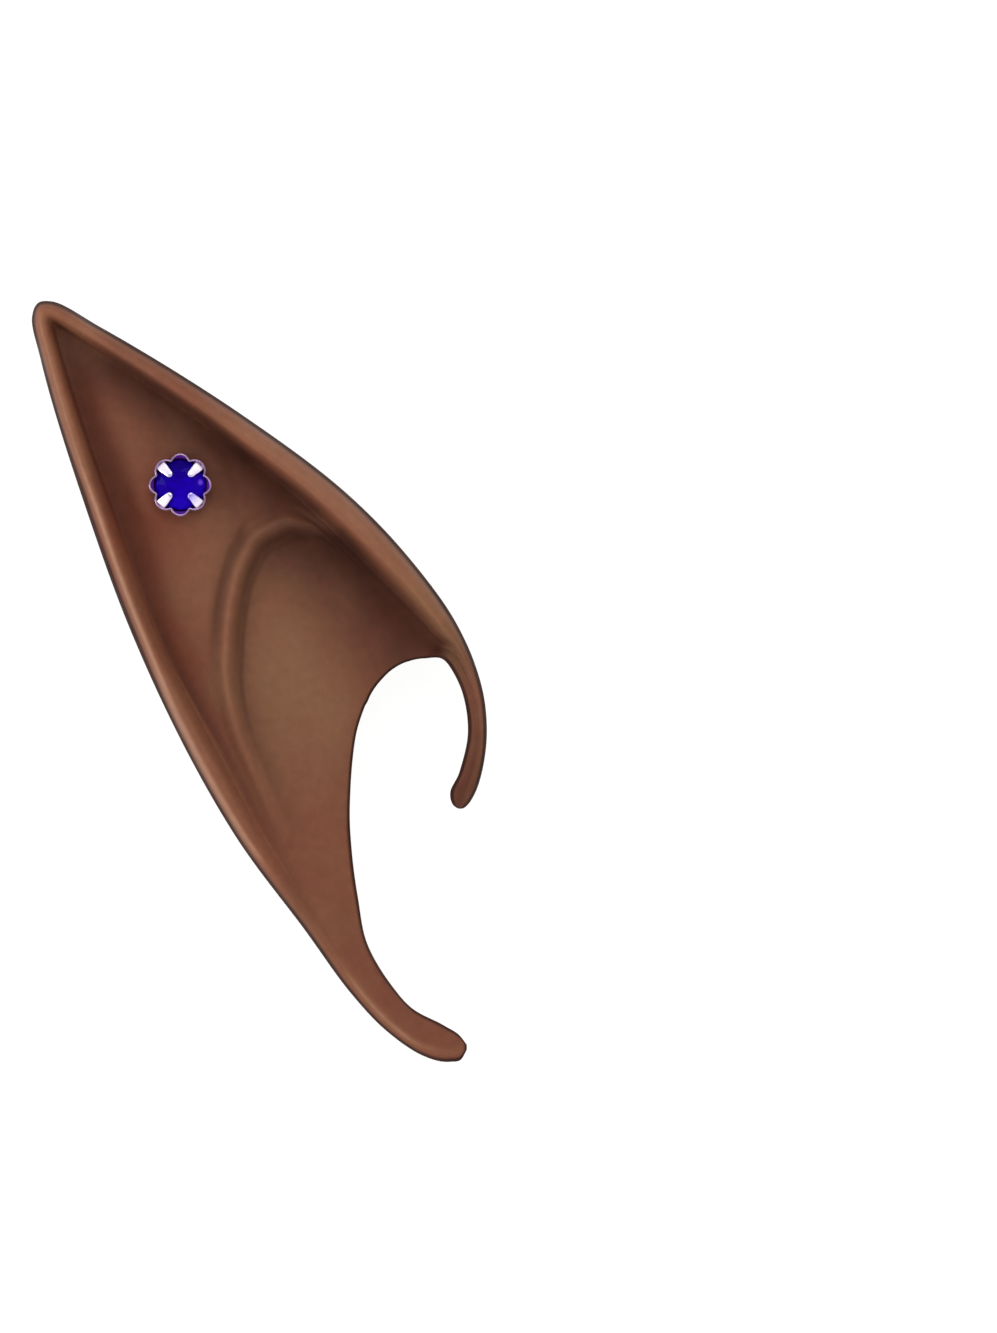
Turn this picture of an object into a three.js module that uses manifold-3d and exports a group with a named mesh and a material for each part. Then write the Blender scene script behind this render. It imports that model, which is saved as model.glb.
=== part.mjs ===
// A slip-on elf ear: one hollow latex moulding with a rolled rim, an inner fold and a bowl, and on its front
// a round glass stone in a clawed metal setting.
// The ear lies on its back: its front faces +Z, its point is towards +Y and the wearer's face is towards +X.
// Lengths are in millimetres. The origin is under the middle of the outline, on the surface that it lies on.
import * as THREE from "three";
import { ConvexGeometry } from "three/addons/geometries/ConvexGeometry.js";
import { mergeVertices } from "three/addons/utils/BufferGeometryUtils.js";
import Module from "manifold-3d";

const { lerp, smoothstep, degToRad } = THREE.MathUtils;

// Driving dimensions of the latex
const WALL = 1.6; // thickness of the latex
const CREST_SHARE = 0.5; // where the rim's top lies across its width
const ROLL_POWER = 1.5; // above 1 the rim stays round past its top and drops late
const SHELF_RUN = 10; // from the groove behind the rim up to the shelf
const FOLD_HALF = 3.7; // half the width of the inner fold, with the hollows beside it
const BACK_ROUND = 1.4; // the rim's back is this much wider than its front
const TIP_STATION = 47; // the section that starts at the ear's point
const LAST_STATION = 100; // the section at the tail's end
const TIP_LIFT = 4; // the point curls this far up off the surface
const LIFT_FROM = 47; // the curl starts this far from the point
const SEAM_DEPTH = 0.5; // the seam that is left where the two walls join in the hook and the tail
const SEAM_HEIGHT = 0.3;
const NARROW_SHARE = 0.5; // the most of a section's length that its rim or its lip may take
const FOLD_MARGIN = 0.1; // the fold keeps this share of the floor between itself and the groove or the lip
const FOLD_ROOM = 0.6; // the most of the floor beside it that half the fold may take
const FOOT_ROOM = 0.4; // the most of the way from the groove to the fold that the shelf's rise may take
const LIP_DROP = 0.45; // the most of the lip's height that its rounding may take
const SEAM_ROOM = 0.3; // the most of a section's length that the seam may take

// Driving dimensions of the stone and its setting
const STONE_X = -12.3;
const STONE_Y = 30.8;
const STONE_RADIUS = 3.95;
const TABLE_RADIUS = 2.2;
const CROWN = 1.2; // height of the stone above its girdle
const GIRDLE = 0.3; // height of the girdle itself
const PAVILION = 1.5; // depth of the stone below its girdle
const SHEET = 0.3; // thickness of the setting's metal
const CUP_RADIUS = 4.72; // mean radius of the scalloped edge
const SCALLOP = 0.3; // how far its lobes and necks leave that radius
const LOBES = 8;
const CLAWS = 4;
const CLAW_TIP = 1.95; // distance of a claw's tip from the stone's middle
const GAP = 0.3; // between the latex and the setting
const STONE_GAP = 0.15; // between the stone and the metal
const SEAT_FLAT = 5.4; // the latex is flat this far round the stone
const SEAT_BLEND = 9;

// Turns a table into smooth curves: the result gives every named column at a station.
// Each column is a cubic through its rows, with the slope of a parabola through each row and its neighbours.
function curves(names, rows) {
  const columns = names.split(" ");
  const stations = rows.map((row) => row[0]);
  const last = rows.length - 1;
  const secant = (i, c) => (rows[i + 1][c] - rows[i][c]) / (stations[i + 1] - stations[i]);
  const slope = (i, c) => {
    if (i === 0) return secant(0, c);
    if (i === last) return secant(last - 1, c);
    const before = stations[i] - stations[i - 1];
    const after = stations[i + 1] - stations[i];
    return (secant(i - 1, c) * after + secant(i, c) * before) / (before + after);
  };
  return (station) => {
    let i = 0;
    while (i < last - 1 && station > stations[i + 1]) i += 1;
    const step = stations[i + 1] - stations[i];
    const t = (station - stations[i]) / step;
    const values = columns.map((_, c) => {
      const start = slope(i, c) * step;
      const end = slope(i + 1, c) * step;
      const rise = rows[i + 1][c] - rows[i][c];
      return rows[i][c] + t * (start + t * (3 * rise - 2 * start - end + t * (start + end - 2 * rise)));
    });
    return Object.fromEntries(columns.map((name, c) => [name, values[c]]));
  };
}

// Sections run from the hook's end over the point to the tail's end. Each starts at the ear's outer edge
// and ends at the lip, the edge round the opening that shows the wearer's own ear.
const OUTLINE = curves("station edge_x edge_y lip_x lip_y", [
  [0, 31.6, -20.12, 31.15, -20.02],
  [0.5, 32.2, -20.02, 30.55, -19.55],
  [1.1, 32.9, -19.42, 30.2, -18.85],
  [2, 33.6, -18.4, 30.05, -17.8],
  [5, 35.15, -14.0, 31.55, -14.2],
  [8, 35.85, -8.2, 32.85, -8.2],
  [11, 35.3, -2.0, 32.05, -2.05],
  [13.5, 33.8, 3.15, 30.2, 1.95],
  [15.5, 32.3, 6.65, 28.75, 3.5],
  [18, 29.75, 11.25, 26.05, 3.55],
  [22, 23.0, 20.1, 23.4, 3.05],
  [27, 13.7, 29.6, 21.25, 2.0],
  [34, -3.3, 42.3, 19.1, 0.0],
  [42, -25.0, 55.7, 17.5, -2.3],
  [45.5, -32.6, 59.7, 17.0, -3.4],
  [47, -34.8, 59.4, 16.7, -3.9],
  [48.5, -35.7, 57.1, 16.5, -4.4],
  [51, -34.4, 50.8, 16.1, -5.5],
  [59, -27.0, 26.4, 15.1, -9.4],
  [64, -21.15, 10.2, 14.64, -13.25],
  [68, -15.74, -2.26, 14.4, -16.8],
  [76, -3.95, -24.1, 14.4, -24.4],
  [83, 7.24, -39.32, 15.5, -33.8],
  [88, 14.45, -49.23, 17.2, -42.0],
  [92, 20.27, -55.35, 20.8, -48.0],
  [95, 25.41, -58.88, 24.2, -51.7],
  [98, 30.08, -60.0, 29.3, -54.4],
  [99.3, 31.9, -59.5, 31.6, -55.9],
  [100, 32.68, -58.1, 32.68, -57.3],
]);

// The rolled rim: its width, and the heights of its top, of its outer edge, of the groove behind it
// and of the ear's back.
const RIM = curves("station width crest edge groove back", [
  [0, 0.2, 7.4, 7.0, 7.4, 6.6],
  [0.5, 0.6, 7.9, 7.0, 7.9, 6.1],
  [1.1, 1.1, 8.6, 7.0, 8.6, 5.4],
  [2, 1.4, 8.9, 7.0, 8.8, 5.2],
  [8, 1.2, 10.3, 8.4, 10.2, 6.4],
  [13.5, 2.0, 12.8, 9.2, 11.6, 5.0],
  [18, 3.8, 15.2, 9.5, 9.8, 1.4],
  [22, 4.9, 16.2, 9.5, 9.2, 0.0],
  [27, 5.9, 16.6, 9.5, 9.2, 0.0],
  [34, 5.4, 16.2, 9.0, 9.4, 0.0],
  [42, 4.1, 14.0, 7.5, 9.4, 0.0],
  [47, 3.5, 11.6, 5.5, 9.0, 0.0],
  [51, 3.9, 12.2, 6.0, 9.2, 0.0],
  [59, 4.2, 13.8, 7.0, 9.5, 0.0],
  [64, 3.9, 13.8, 7.0, 9.5, 0.0],
  [68, 4.4, 13.6, 7.0, 9.5, 0.0],
  [72, 4.5, 13.0, 6.8, 9.6, 0.0],
  [76, 3.9, 12.0, 6.4, 9.6, 0.0],
  [83, 3.0, 9.4, 5.2, 9.0, 0.8],
  [88, 2.4, 7.6, 4.4, 7.5, 1.6],
  [95, 2.4, 6.2, 3.9, 6.1, 1.8],
  [98, 2.0, 5.6, 3.9, 5.5, 2.2],
  [100, 0.5, 4.6, 3.9, 4.6, 3.2],
]);

// The floor inside the rim: heights of the shelf outside the fold, of the fold above it, of the bowl
// inside it and of the lip, and the fold's distance from the lip.
const FLOOR = curves("station shelf fold fold_at bowl lip", [
  [0, 7.4, 0.0, 0.2, 7.4, 7.4],
  [0.5, 7.9, 0.0, 0.7, 7.9, 7.9],
  [1.1, 8.6, 0.0, 1.5, 8.6, 8.6],
  [2, 8.8, 0.0, 1.8, 8.8, 8.8],
  [8, 10.2, 0.0, 1.5, 10.2, 10.2],
  [13.5, 11.2, 0.0, 1.8, 10.9, 10.8],
  [18, 9.8, 0.0, 3.0, 9.8, 10.4],
  [22, 9.2, 0.0, 7.5, 9.2, 10.4],
  [27, 9.2, 0.0, 15.0, 9.2, 10.5],
  [30, 9.3, 0.0, 22.0, 9.3, 10.6],
  [32, 9.6, 0.2, 26.3, 9.4, 10.6],
  [34, 10.2, 0.7, 28.5, 9.4, 10.7],
  [38, 10.7, 1.05, 29.9, 9.6, 10.7],
  [42, 10.8, 1.15, 30.55, 9.8, 10.7],
  [47, 10.8, 1.2, 30.0, 10.0, 10.7],
  [51, 10.8, 1.2, 29.2, 10.0, 10.6],
  [59, 10.7, 1.2, 26.15, 10.0, 10.3],
  [64, 10.6, 1.1, 23.5, 10.0, 10.1],
  [68, 10.4, 0.7, 19.7, 10.0, 9.9],
  [72, 10.2, 0.3, 14.8, 9.9, 9.5],
  [76, 9.9, 0.1, 11.0, 9.6, 9.1],
  [83, 9.0, 0.0, 5.0, 8.8, 8.2],
  [88, 7.5, 0.0, 3.5, 7.4, 7.2],
  [95, 6.1, 0.0, 3.0, 6.0, 6.0],
  [98, 5.5, 0.0, 2.5, 5.5, 5.5],
  [100, 4.6, 0.0, 0.5, 4.6, 4.6],
]);

// The hollow that the wearer's ear slips into: how open it is, how much of a section its back wall covers,
// and how round the lip is.
const HOLLOW = curves("station open mouth lip_round", [
  [0, 0, 1, 0.15],
  [0.5, 0, 1, 0.6],
  [1.1, 0, 1, 1.1],
  [2, 0, 1, 1.3],
  [11, 0, 1, 1.1],
  [13.5, 0, 1, 1.0],
  [18, 1, 0.92, 0.6],
  [27, 1, 0.78, 0.6],
  [47, 1, 0.8, 0.6],
  [68, 1, 0.74, 0.6],
  [78, 1, 0.86, 0.6],
  [87, 0, 1, 1.0],
  [98, 0, 1, 1.4],
  [100, 0, 1, 0.4],
]);

// Where sections are taken, as stretches of stations with the number of steps in each.
const STRETCHES = [
  { from: 0, to: 2, steps: 4 },
  { from: 2, to: 20, steps: 15 },
  { from: 20, to: 43, steps: 16 },
  { from: 43, to: 51, steps: 12 },
  { from: 51, to: 80, steps: 20 },
  { from: 80, to: 97, steps: 12 },
  { from: 97, to: 100, steps: 5 },
];

// How many points each part of a section has.
const POINTS = {
  lip: 2,
  bowl: 3,
  fold: 8,
  shelf: 3,
  foot: 2,
  slope: 4,
  crest: 4,
  back: 4,
  flat: 2,
  inner: 4,
};

const shares = (count) => Array.from({ length: count }, (_, i) => i / count);

// The outer edge as two runs of points, before and after the ear's point.
const EDGE_STEPS = 160;
const edgeRun = (from, to) =>
  [...shares(EDGE_STEPS), 1].map((share) => {
    const plan = OUTLINE(lerp(from, to, share));
    return new THREE.Vector2(plan.edge_x, plan.edge_y);
  });
const UPPER_EDGE = edgeRun(0, TIP_STATION);
const LOWER_EDGE = edgeRun(TIP_STATION, LAST_STATION);

// Shortest distance from a point to a run of points joined by straight lines.
function distanceTo(run, point) {
  let nearest = Infinity;
  for (let i = 0; i + 1 < run.length; i += 1) {
    const line = run[i + 1].clone().sub(run[i]);
    const share = THREE.MathUtils.clamp(point.clone().sub(run[i]).dot(line) / line.lengthSq(), 0, 1);
    nearest = Math.min(nearest, run[i].clone().addScaledVector(line, share).distanceTo(point));
  }
  return nearest;
}

// How far a point lies in from the outer edge. The two runs' distances are blended by a power mean,
// which rounds the crease that they would leave along the middle of the ear's point.
const BLEND_POWER = 6;
function inset(point) {
  const upper = distanceTo(UPPER_EDGE, point);
  const lower = distanceTo(LOWER_EDGE, point);
  if (Math.min(upper, lower) < 1e-9) return 0;
  return (upper ** -BLEND_POWER + lower ** -BLEND_POWER) ** (-1 / BLEND_POWER);
}

// The curl of the ear's point off the surface, as a parabola of the distance to the point.
const TIP = UPPER_EDGE.at(-1);
function lift(point) {
  const along = Math.max(0, 1 - point.distanceTo(TIP) / LIFT_FROM);
  return TIP_LIFT * along ** 2;
}

const STONE_PLACE = new THREE.Vector2(STONE_X, STONE_Y);
const SEAT = FLOOR(TIP_STATION).shelf + lift(STONE_PLACE);

const INSET_STEPS = 100;

// One section across the ear: its plan, its heights, and the loop of points round its cut wall.
class Section {
  constructor(station) {
    const plan = OUTLINE(station);
    this.edgePoint = new THREE.Vector2(plan.edge_x, plan.edge_y);
    this.lipPoint = new THREE.Vector2(plan.lip_x, plan.lip_y);
    this.length = this.edgePoint.distanceTo(this.lipPoint);
    Object.assign(this, { rim: RIM(station), floor: FLOOR(station), hollow: HOLLOW(station) });
    this.open = THREE.MathUtils.clamp(this.hollow.open, 0, 1);
    this.rim.back = Math.max(0, this.rim.back);
    this.rim.width = Math.min(this.rim.width, NARROW_SHARE * this.length);
    this.hollow.lip_round = Math.min(this.hollow.lip_round, NARROW_SHARE * this.length);
    this.crestAt = this.rim.width * CREST_SHARE;
    // In the solid hook and tail the way in from the edge is the way along the section.
    this.insets = [...shares(INSET_STEPS), 1].map((share) => {
      const across = share * this.length;
      return lerp(across, inset(this.planAt(across)), this.open);
    });
    this.grooveAt = this.across(this.rim.width);
    this.lipFrom = this.length - this.hollow.lip_round;
    const margin = FOLD_MARGIN * (this.lipFrom - this.grooveAt);
    const wanted = this.length - this.floor.fold_at;
    this.foldAt = THREE.MathUtils.clamp(wanted, this.grooveAt + margin, this.lipFrom - margin);
    const room = FOLD_ROOM * Math.min(this.foldAt - this.grooveAt, this.lipFrom - this.foldAt);
    this.foldHalf = Math.min(FOLD_HALF, room);
    const footLimit = lerp(this.grooveAt, this.foldAt, FOOT_ROOM);
    this.footAt = Math.min(this.across(this.rim.width + SHELF_RUN), footLimit);
  }

  planAt(across) {
    return this.edgePoint.clone().lerp(this.lipPoint, across / this.length);
  }

  // Distance along the section at which it first lies this far in from the outer edge.
  across(wanted) {
    const i = this.insets.findIndex((value) => value >= wanted);
    if (i < 0) return this.length;
    if (i === 0) return 0;
    const share = (wanted - this.insets[i - 1]) / (this.insets[i] - this.insets[i - 1]);
    return ((i - 1 + share) / INSET_STEPS) * this.length;
  }

  insetAt(across) {
    const place = (across / this.length) * INSET_STEPS;
    const i = Math.min(Math.floor(place), INSET_STEPS - 1);
    return lerp(this.insets[i], this.insets[i + 1], place - i);
  }

  // The rim's own form: a quarter of an ellipse from the outer edge to its top, then a late S to the groove.
  rimHeight(inward) {
    const { crest, edge, groove, width } = this.rim;
    const short = Math.max(0, 1 - inward / this.crestAt);
    if (inward < this.crestAt) return edge + (crest - edge) * Math.sqrt(Math.max(0, 1 - short ** 2));
    const past = Math.min(1, (inward - this.crestAt) / (width - this.crestAt));
    return lerp(crest, groove, smoothstep(past ** ROLL_POWER, 0, 1));
  }

  // The front's height: the rim, the shelf rising from its groove, the fold, then the bowl and the lip.
  // The fold is a bead with a hollow along each side of it, deeper on the bowl's side.
  frontHeight(across, foldShare = 1) {
    const inward = this.insetAt(across);
    if (across < this.grooveAt) return this.rimHeight(inward);
    const { shelf, fold, bowl, lip } = this.floor;
    const rise = smoothstep(inward, this.rim.width, this.rim.width + SHELF_RUN);
    const outside = lerp(this.rim.groove, shelf, rise);
    const inside = lerp(bowl, lip, smoothstep(across, this.foldAt, this.lipFrom));
    const passed = smoothstep(across, this.foldAt - this.foldHalf, this.foldAt + this.foldHalf);
    const floor = lerp(outside, inside, passed);
    const off = Math.min(1, Math.abs(across - this.foldAt) / this.foldHalf);
    const bowlSide = (1 - off ** 2) ** 2 * (1 - 5 * off ** 2);
    const shelfSide = (1 - off ** 2) ** 3 * (1 - 4 * off ** 2);
    return floor + foldShare * fold * (across > this.foldAt ? bowlSide : shelfSide);
  }

  // The back's height: a quarter of an ellipse from the outer edge, then flat.
  backHeight(inward) {
    const { edge, back, width } = this.rim;
    const short = Math.max(0, 1 - inward / (width * BACK_ROUND));
    return back + (edge - back) * (1 - Math.sqrt(1 - short ** 2));
  }

  // The wall's inner faces near the rim, as the outer ones taken in by a ball of the wall's thickness.
  innerHeight(inward, side) {
    const around = [-1, -0.8, -0.5, -0.2, 0, 0.2, 0.5, 0.8, 1];
    const reached = around.map((share) => {
      const place = Math.max(0, inward + share * WALL);
      const outer = side > 0 ? this.rimHeight(place) : this.backHeight(place);
      return outer - side * WALL * Math.sqrt(1 - share ** 2);
    });
    return side > 0 ? Math.min(...reached) : Math.max(...reached);
  }

  // The outer faces from the lip over the rim to the back's own edge, as [distance along, height].
  outerFaces() {
    const { lip_round: round, mouth } = this.hollow;
    const faces = [];
    const front = (across) => faces.push([across, this.frontHeight(across)]);
    const spread = (from, to, count) => shares(count).forEach((share) => front(lerp(from, to, share)));
    const top = this.frontHeight(this.lipFrom);
    const drop = Math.min(round, LIP_DROP * (top - this.rim.back));
    shares(POINTS.lip).forEach((share) => {
      const turn = degToRad(90 * (1 - share));
      faces.push([this.lipFrom + round * Math.sin(turn), top - drop * (1 - Math.cos(turn))]);
    });
    spread(this.lipFrom, this.foldAt + this.foldHalf, POINTS.bowl);
    spread(this.foldAt + this.foldHalf, this.foldAt - this.foldHalf, POINTS.fold);
    spread(this.foldAt - this.foldHalf, this.footAt, POINTS.shelf);
    spread(this.footAt, this.grooveAt, POINTS.foot);
    shares(POINTS.slope).forEach((share) => {
      const inward = lerp(this.rim.width, this.crestAt, share);
      faces.push([this.across(inward), this.rimHeight(inward)]);
    });
    shares(POINTS.crest).forEach((share) => {
      const inward = this.crestAt * (1 - Math.sin(degToRad(90 * share)));
      faces.push([this.across(inward), this.rimHeight(inward)]);
    });
    const flatFrom = this.rim.width * BACK_ROUND;
    shares(POINTS.back).forEach((share) => {
      const inward = flatFrom * (1 - Math.cos(degToRad(90 * share)));
      faces.push([this.across(inward), this.backHeight(inward)]);
    });
    const mouthAt = this.length * mouth;
    const roundFrom = mouthAt - round;
    const flatAt = Math.min(this.across(flatFrom), roundFrom);
    shares(POINTS.flat).forEach((share) => faces.push([lerp(flatAt, roundFrom, share), this.rim.back]));
    const rise = Math.min(drop, lerp(drop, 0.5 * WALL, this.open));
    [...shares(POINTS.lip), 1].forEach((share) => {
      const turn = degToRad(90 * share);
      faces.push([roundFrom + round * Math.sin(turn), this.rim.back + rise * (1 - Math.cos(turn))]);
    });
    return faces;
  }

  // The inner faces from the back's edge into the rim and out to the lip. Where the hollow closes,
  // they draw together into a seam in the lip.
  innerFaces() {
    const mouthAt = this.length * this.hollow.mouth;
    const wallAt = this.across(WALL);
    const backFlat = this.across(Math.max(WALL, this.rim.width * BACK_ROUND));
    const behind = [[mouthAt, this.rim.back + WALL]];
    shares(POINTS.inner).forEach((share) => {
      const inward = lerp(this.insetAt(backFlat), WALL, share);
      behind.push([lerp(backFlat, wallAt, share), this.innerHeight(inward, -1)]);
    });
    const ahead = shares(POINTS.inner).map((share) => {
      const inward = lerp(WALL, this.rim.width, share);
      return [this.across(inward), this.innerHeight(inward, 1)];
    });
    const bowlFrom = this.foldAt + this.foldHalf;
    const bowlMiddle = lerp(bowlFrom, this.lipFrom, 0.5);
    const shelfEnd = this.foldAt - this.foldHalf;
    const places = [this.grooveAt, this.footAt, shelfEnd, bowlFrom, bowlMiddle, this.length];
    places.forEach((across) => {
      ahead.push([across, this.frontHeight(Math.min(across, this.lipFrom), 0) - WALL]);
    });
    const middle = 0.5 * (this.rim.back + this.frontHeight(this.lipFrom));
    const seamDepth = Math.min(SEAM_DEPTH, SEAM_ROOM * this.length);
    const seamHeight = SEAM_HEIGHT * (seamDepth / SEAM_DEPTH);
    const seam = (share, side) => [
      this.length - seamDepth * share,
      middle + side * 0.5 * seamHeight * (1 - share),
    ];
    const closed = [
      ...behind.map((_, i) => seam(i / behind.length, -1)),
      ...ahead.map((_, i) => seam(1 - i / (ahead.length - 1), 1)),
    ];
    return [...behind, ...ahead].map(([across, height], i) => [
      lerp(closed[i][0], across, this.open),
      lerp(closed[i][1], height, this.open),
    ]);
  }

  // The whole loop in space, with the point's curl added and the latex level under the stone.
  loop() {
    const outer = this.outerFaces().map(([across, height], i) => this.placed(across, height, i));
    const inner = this.innerFaces().map(([across, height]) => this.placed(across, height));
    return [...outer, ...inner];
  }

  placed(across, height, outerIndex = Infinity) {
    const plan = this.planAt(across);
    const raised = height + lift(plan);
    const frontEnd = POINTS.lip + POINTS.bowl + POINTS.fold + POINTS.shelf + POINTS.foot;
    const level = 1 - smoothstep(plan.distanceTo(STONE_PLACE), SEAT_FLAT, SEAT_BLEND);
    return new THREE.Vector3(plan.x, plan.y, lerp(raised, SEAT, outerIndex < frontEnd ? level : 0));
  }
}

// A closed skin through rings of equal length, with each end closed by a fan to its middle.
function skin(rings) {
  const size = rings[0].length;
  const middle = (ring) => new THREE.Box3().setFromPoints(ring).getCenter(new THREE.Vector3());
  const points = [...rings.flat(), middle(rings[0]), middle(rings.at(-1))];
  const faces = [];
  for (let r = 0; r + 1 < rings.length; r += 1) {
    for (let i = 0; i < size; i += 1) {
      const a = r * size + i;
      const b = r * size + ((i + 1) % size);
      faces.push([a, b, b + size], [a, b + size, a + size]);
    }
  }
  const start = points.length - 2;
  const lastRing = (rings.length - 1) * size;
  for (let i = 0; i < size; i += 1) {
    const next = (i + 1) % size;
    faces.push([start, next, i], [start + 1, lastRing + i, lastRing + next]);
  }
  const geometry = new THREE.BufferGeometry().setFromPoints(points);
  geometry.setIndex(faces.flat());
  return geometry;
}

function earShell() {
  const stations = STRETCHES.flatMap(({ from, to, steps }) => {
    return shares(steps).map((share) => lerp(from, to, share));
  });
  return skin([...stations, LAST_STATION].map((station) => new Section(station).loop()));
}

// The stone is cut as a simple brilliant: a table of eight sides, a crown whose facets meet a ring of
// sixteen corners at the girdle, and a plain pavilion cut short at its foot.
const FACETS = 8;
const FOOT_RADIUS = 1.2;
const STAR_OUT = 0.55; // where the crown's inner corners lie between the table and the girdle
const STAR_UP = 0.62; // and how high they lie on the crown
function stoneBody() {
  const ring = (count, radius, height, turn) =>
    Array.from({ length: count }, (_, i) => {
      const angle = ((i + turn) / count) * 2 * Math.PI;
      return new THREE.Vector3(radius * Math.cos(angle), radius * Math.sin(angle), height);
    });
  const starRadius = lerp(TABLE_RADIUS, STONE_RADIUS, STAR_OUT);
  return new ConvexGeometry([
    ...ring(FACETS, FOOT_RADIUS, 0, 0),
    ...ring(2 * FACETS, STONE_RADIUS, PAVILION, 0),
    ...ring(2 * FACETS, STONE_RADIUS, PAVILION + GIRDLE, 0),
    ...ring(FACETS, starRadius, PAVILION + GIRDLE + STAR_UP * CROWN, 0.5),
    ...ring(FACETS, TABLE_RADIUS, PAVILION + GIRDLE + CROWN, 0),
  ]);
}

// Solids for joining and cutting.
const wasm = await Module();
wasm.setup();

function solid(geometry) {
  const bare = geometry.clone();
  Object.keys(bare.attributes).forEach((name) => name !== "position" && bare.deleteAttribute(name));
  const merged = mergeVertices(bare.index ? bare.toNonIndexed() : bare, 1e-4);
  const vertProperties = merged.attributes.position.array;
  const triVerts = new Uint32Array(merged.index.array);
  return new wasm.Manifold(new wasm.Mesh({ numProp: 3, vertProperties, triVerts }));
}

function geometryOf(body) {
  const mesh = body.getMesh();
  const geometry = new THREE.BufferGeometry();
  geometry.setAttribute("position", new THREE.BufferAttribute(mesh.vertProperties, 3));
  geometry.setIndex(new THREE.BufferAttribute(mesh.triVerts, 1));
  return geometry;
}

// The setting is stamped from one sheet: a floor, a scalloped wall that stands round the stone's girdle,
// and claws that rise through the wall and fold over the crown.
const CUP_STEPS = 64;
const FLOOR_TOP = SHEET;
const GIRDLE_LEVEL = FLOOR_TOP + STONE_GAP + PAVILION;
const CUP_HEIGHT = GIRDLE_LEVEL + GIRDLE;

function scallop(radius) {
  const corners = shares(CUP_STEPS).map((share) => {
    const angle = share * 2 * Math.PI;
    const reach = radius + SCALLOP * Math.cos(LOBES * angle);
    return new THREE.Vector2(reach * Math.cos(angle), reach * Math.sin(angle));
  });
  return new THREE.Shape(corners);
}

// A claw is a strip that climbs the wall, bends at its shoulder and lies along the crown to the table.
function claw() {
  const clear = STONE_GAP + 0.6 * SHEET;
  const wall = CUP_RADIUS - 0.5 * SHEET;
  const crownTop = CUP_HEIGHT + CROWN;
  const route = [
    { out: wall, up: 0.5 * CUP_HEIGHT, width: 1.7 },
    { out: wall, up: CUP_HEIGHT, width: 1.6 },
    { out: STONE_RADIUS + clear, up: CUP_HEIGHT + clear, width: 1.5 },
    { out: TABLE_RADIUS + STONE_GAP, up: crownTop + clear, width: 1.05 },
    { out: CLAW_TIP, up: crownTop + clear, width: 0.7 },
  ];
  const rings = route.map(({ out, up, width }, i) => {
    const before = route[Math.max(0, i - 1)];
    const after = route[Math.min(route.length - 1, i + 1)];
    const along = new THREE.Vector2(after.out - before.out, after.up - before.up).normalize();
    const across = new THREE.Vector2(along.y, -along.x).multiplyScalar(0.5 * SHEET);
    return [
      new THREE.Vector3(out + across.x, -0.5 * width, up + across.y),
      new THREE.Vector3(out + across.x, 0.5 * width, up + across.y),
      new THREE.Vector3(out - across.x, 0.5 * width, up - across.y),
      new THREE.Vector3(out - across.x, -0.5 * width, up - across.y),
    ];
  });
  return skin(rings);
}

function settingBody() {
  const upright = { depth: CUP_HEIGHT, bevelEnabled: false };
  const wall = new THREE.ExtrudeGeometry(scallop(CUP_RADIUS), upright);
  const room = new THREE.ExtrudeGeometry(scallop(CUP_RADIUS - SHEET), upright);
  room.translate(0, 0, FLOOR_TOP);
  let body = solid(wall).subtract(solid(room));
  for (let i = 0; i < CLAWS; i += 1) {
    const turn = degToRad(45) + (i / CLAWS) * 2 * Math.PI;
    body = body.add(solid(claw().rotateZ(turn)));
  }
  return geometryOf(body);
}

const latex = new THREE.MeshStandardMaterial({ color: 0x7d4f39, roughness: 0.55, metalness: 0 });
const silver = new THREE.MeshStandardMaterial({ color: 0xd9d3de, roughness: 0.2, metalness: 1 });
const glass = new THREE.MeshStandardMaterial({ color: 0x1c0a9a, roughness: 0.05, metalness: 0 });

function piece(name, geometry, material) {
  const mesh = new THREE.Mesh(geometry, material);
  mesh.name = name;
  return mesh;
}

const ear = new THREE.Group();
ear.add(piece("ear_shell", earShell(), latex));

const jewel = new THREE.Group();
jewel.position.set(STONE_X, STONE_Y, SEAT + GAP);
jewel.add(piece("stone_setting", settingBody(), silver));
const stone = piece("stone", stoneBody(), glass);
stone.position.z = FLOOR_TOP + STONE_GAP;
jewel.add(stone);
ear.add(jewel);

export default ear;
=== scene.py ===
import bpy
import numpy as np
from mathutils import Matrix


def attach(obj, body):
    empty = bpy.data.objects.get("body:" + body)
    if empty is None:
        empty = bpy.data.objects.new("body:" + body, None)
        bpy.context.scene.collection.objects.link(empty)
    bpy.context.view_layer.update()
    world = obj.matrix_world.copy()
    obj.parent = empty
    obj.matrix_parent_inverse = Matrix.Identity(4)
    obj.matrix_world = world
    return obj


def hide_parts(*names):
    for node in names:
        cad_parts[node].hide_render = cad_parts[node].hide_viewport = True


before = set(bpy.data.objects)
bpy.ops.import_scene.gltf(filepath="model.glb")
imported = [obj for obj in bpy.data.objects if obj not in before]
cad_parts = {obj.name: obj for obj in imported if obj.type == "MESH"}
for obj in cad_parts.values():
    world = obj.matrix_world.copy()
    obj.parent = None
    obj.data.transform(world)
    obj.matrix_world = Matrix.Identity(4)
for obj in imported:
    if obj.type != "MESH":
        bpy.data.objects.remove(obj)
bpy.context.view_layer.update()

# The ear's skin
# One hollow moulding of brown latex, 1.6 mm thick, with a rolled rim, an inner fold, a hook that goes
# over the wearer's own ear and a tail below it. It is cast in a mould and trimmed along its lip, and
# its hollows carry a darker brown as painted shade.
MM = 0.001
WALL = 1.6  # thickness of the latex
CREST_SHARE = 0.5  # where the rim's top lies across its width
ROLL_POWER = 1.5  # above 1 the rim stays round past its top and drops late
SHELF_RUN = 10  # from the groove behind the rim up to the shelf
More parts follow.
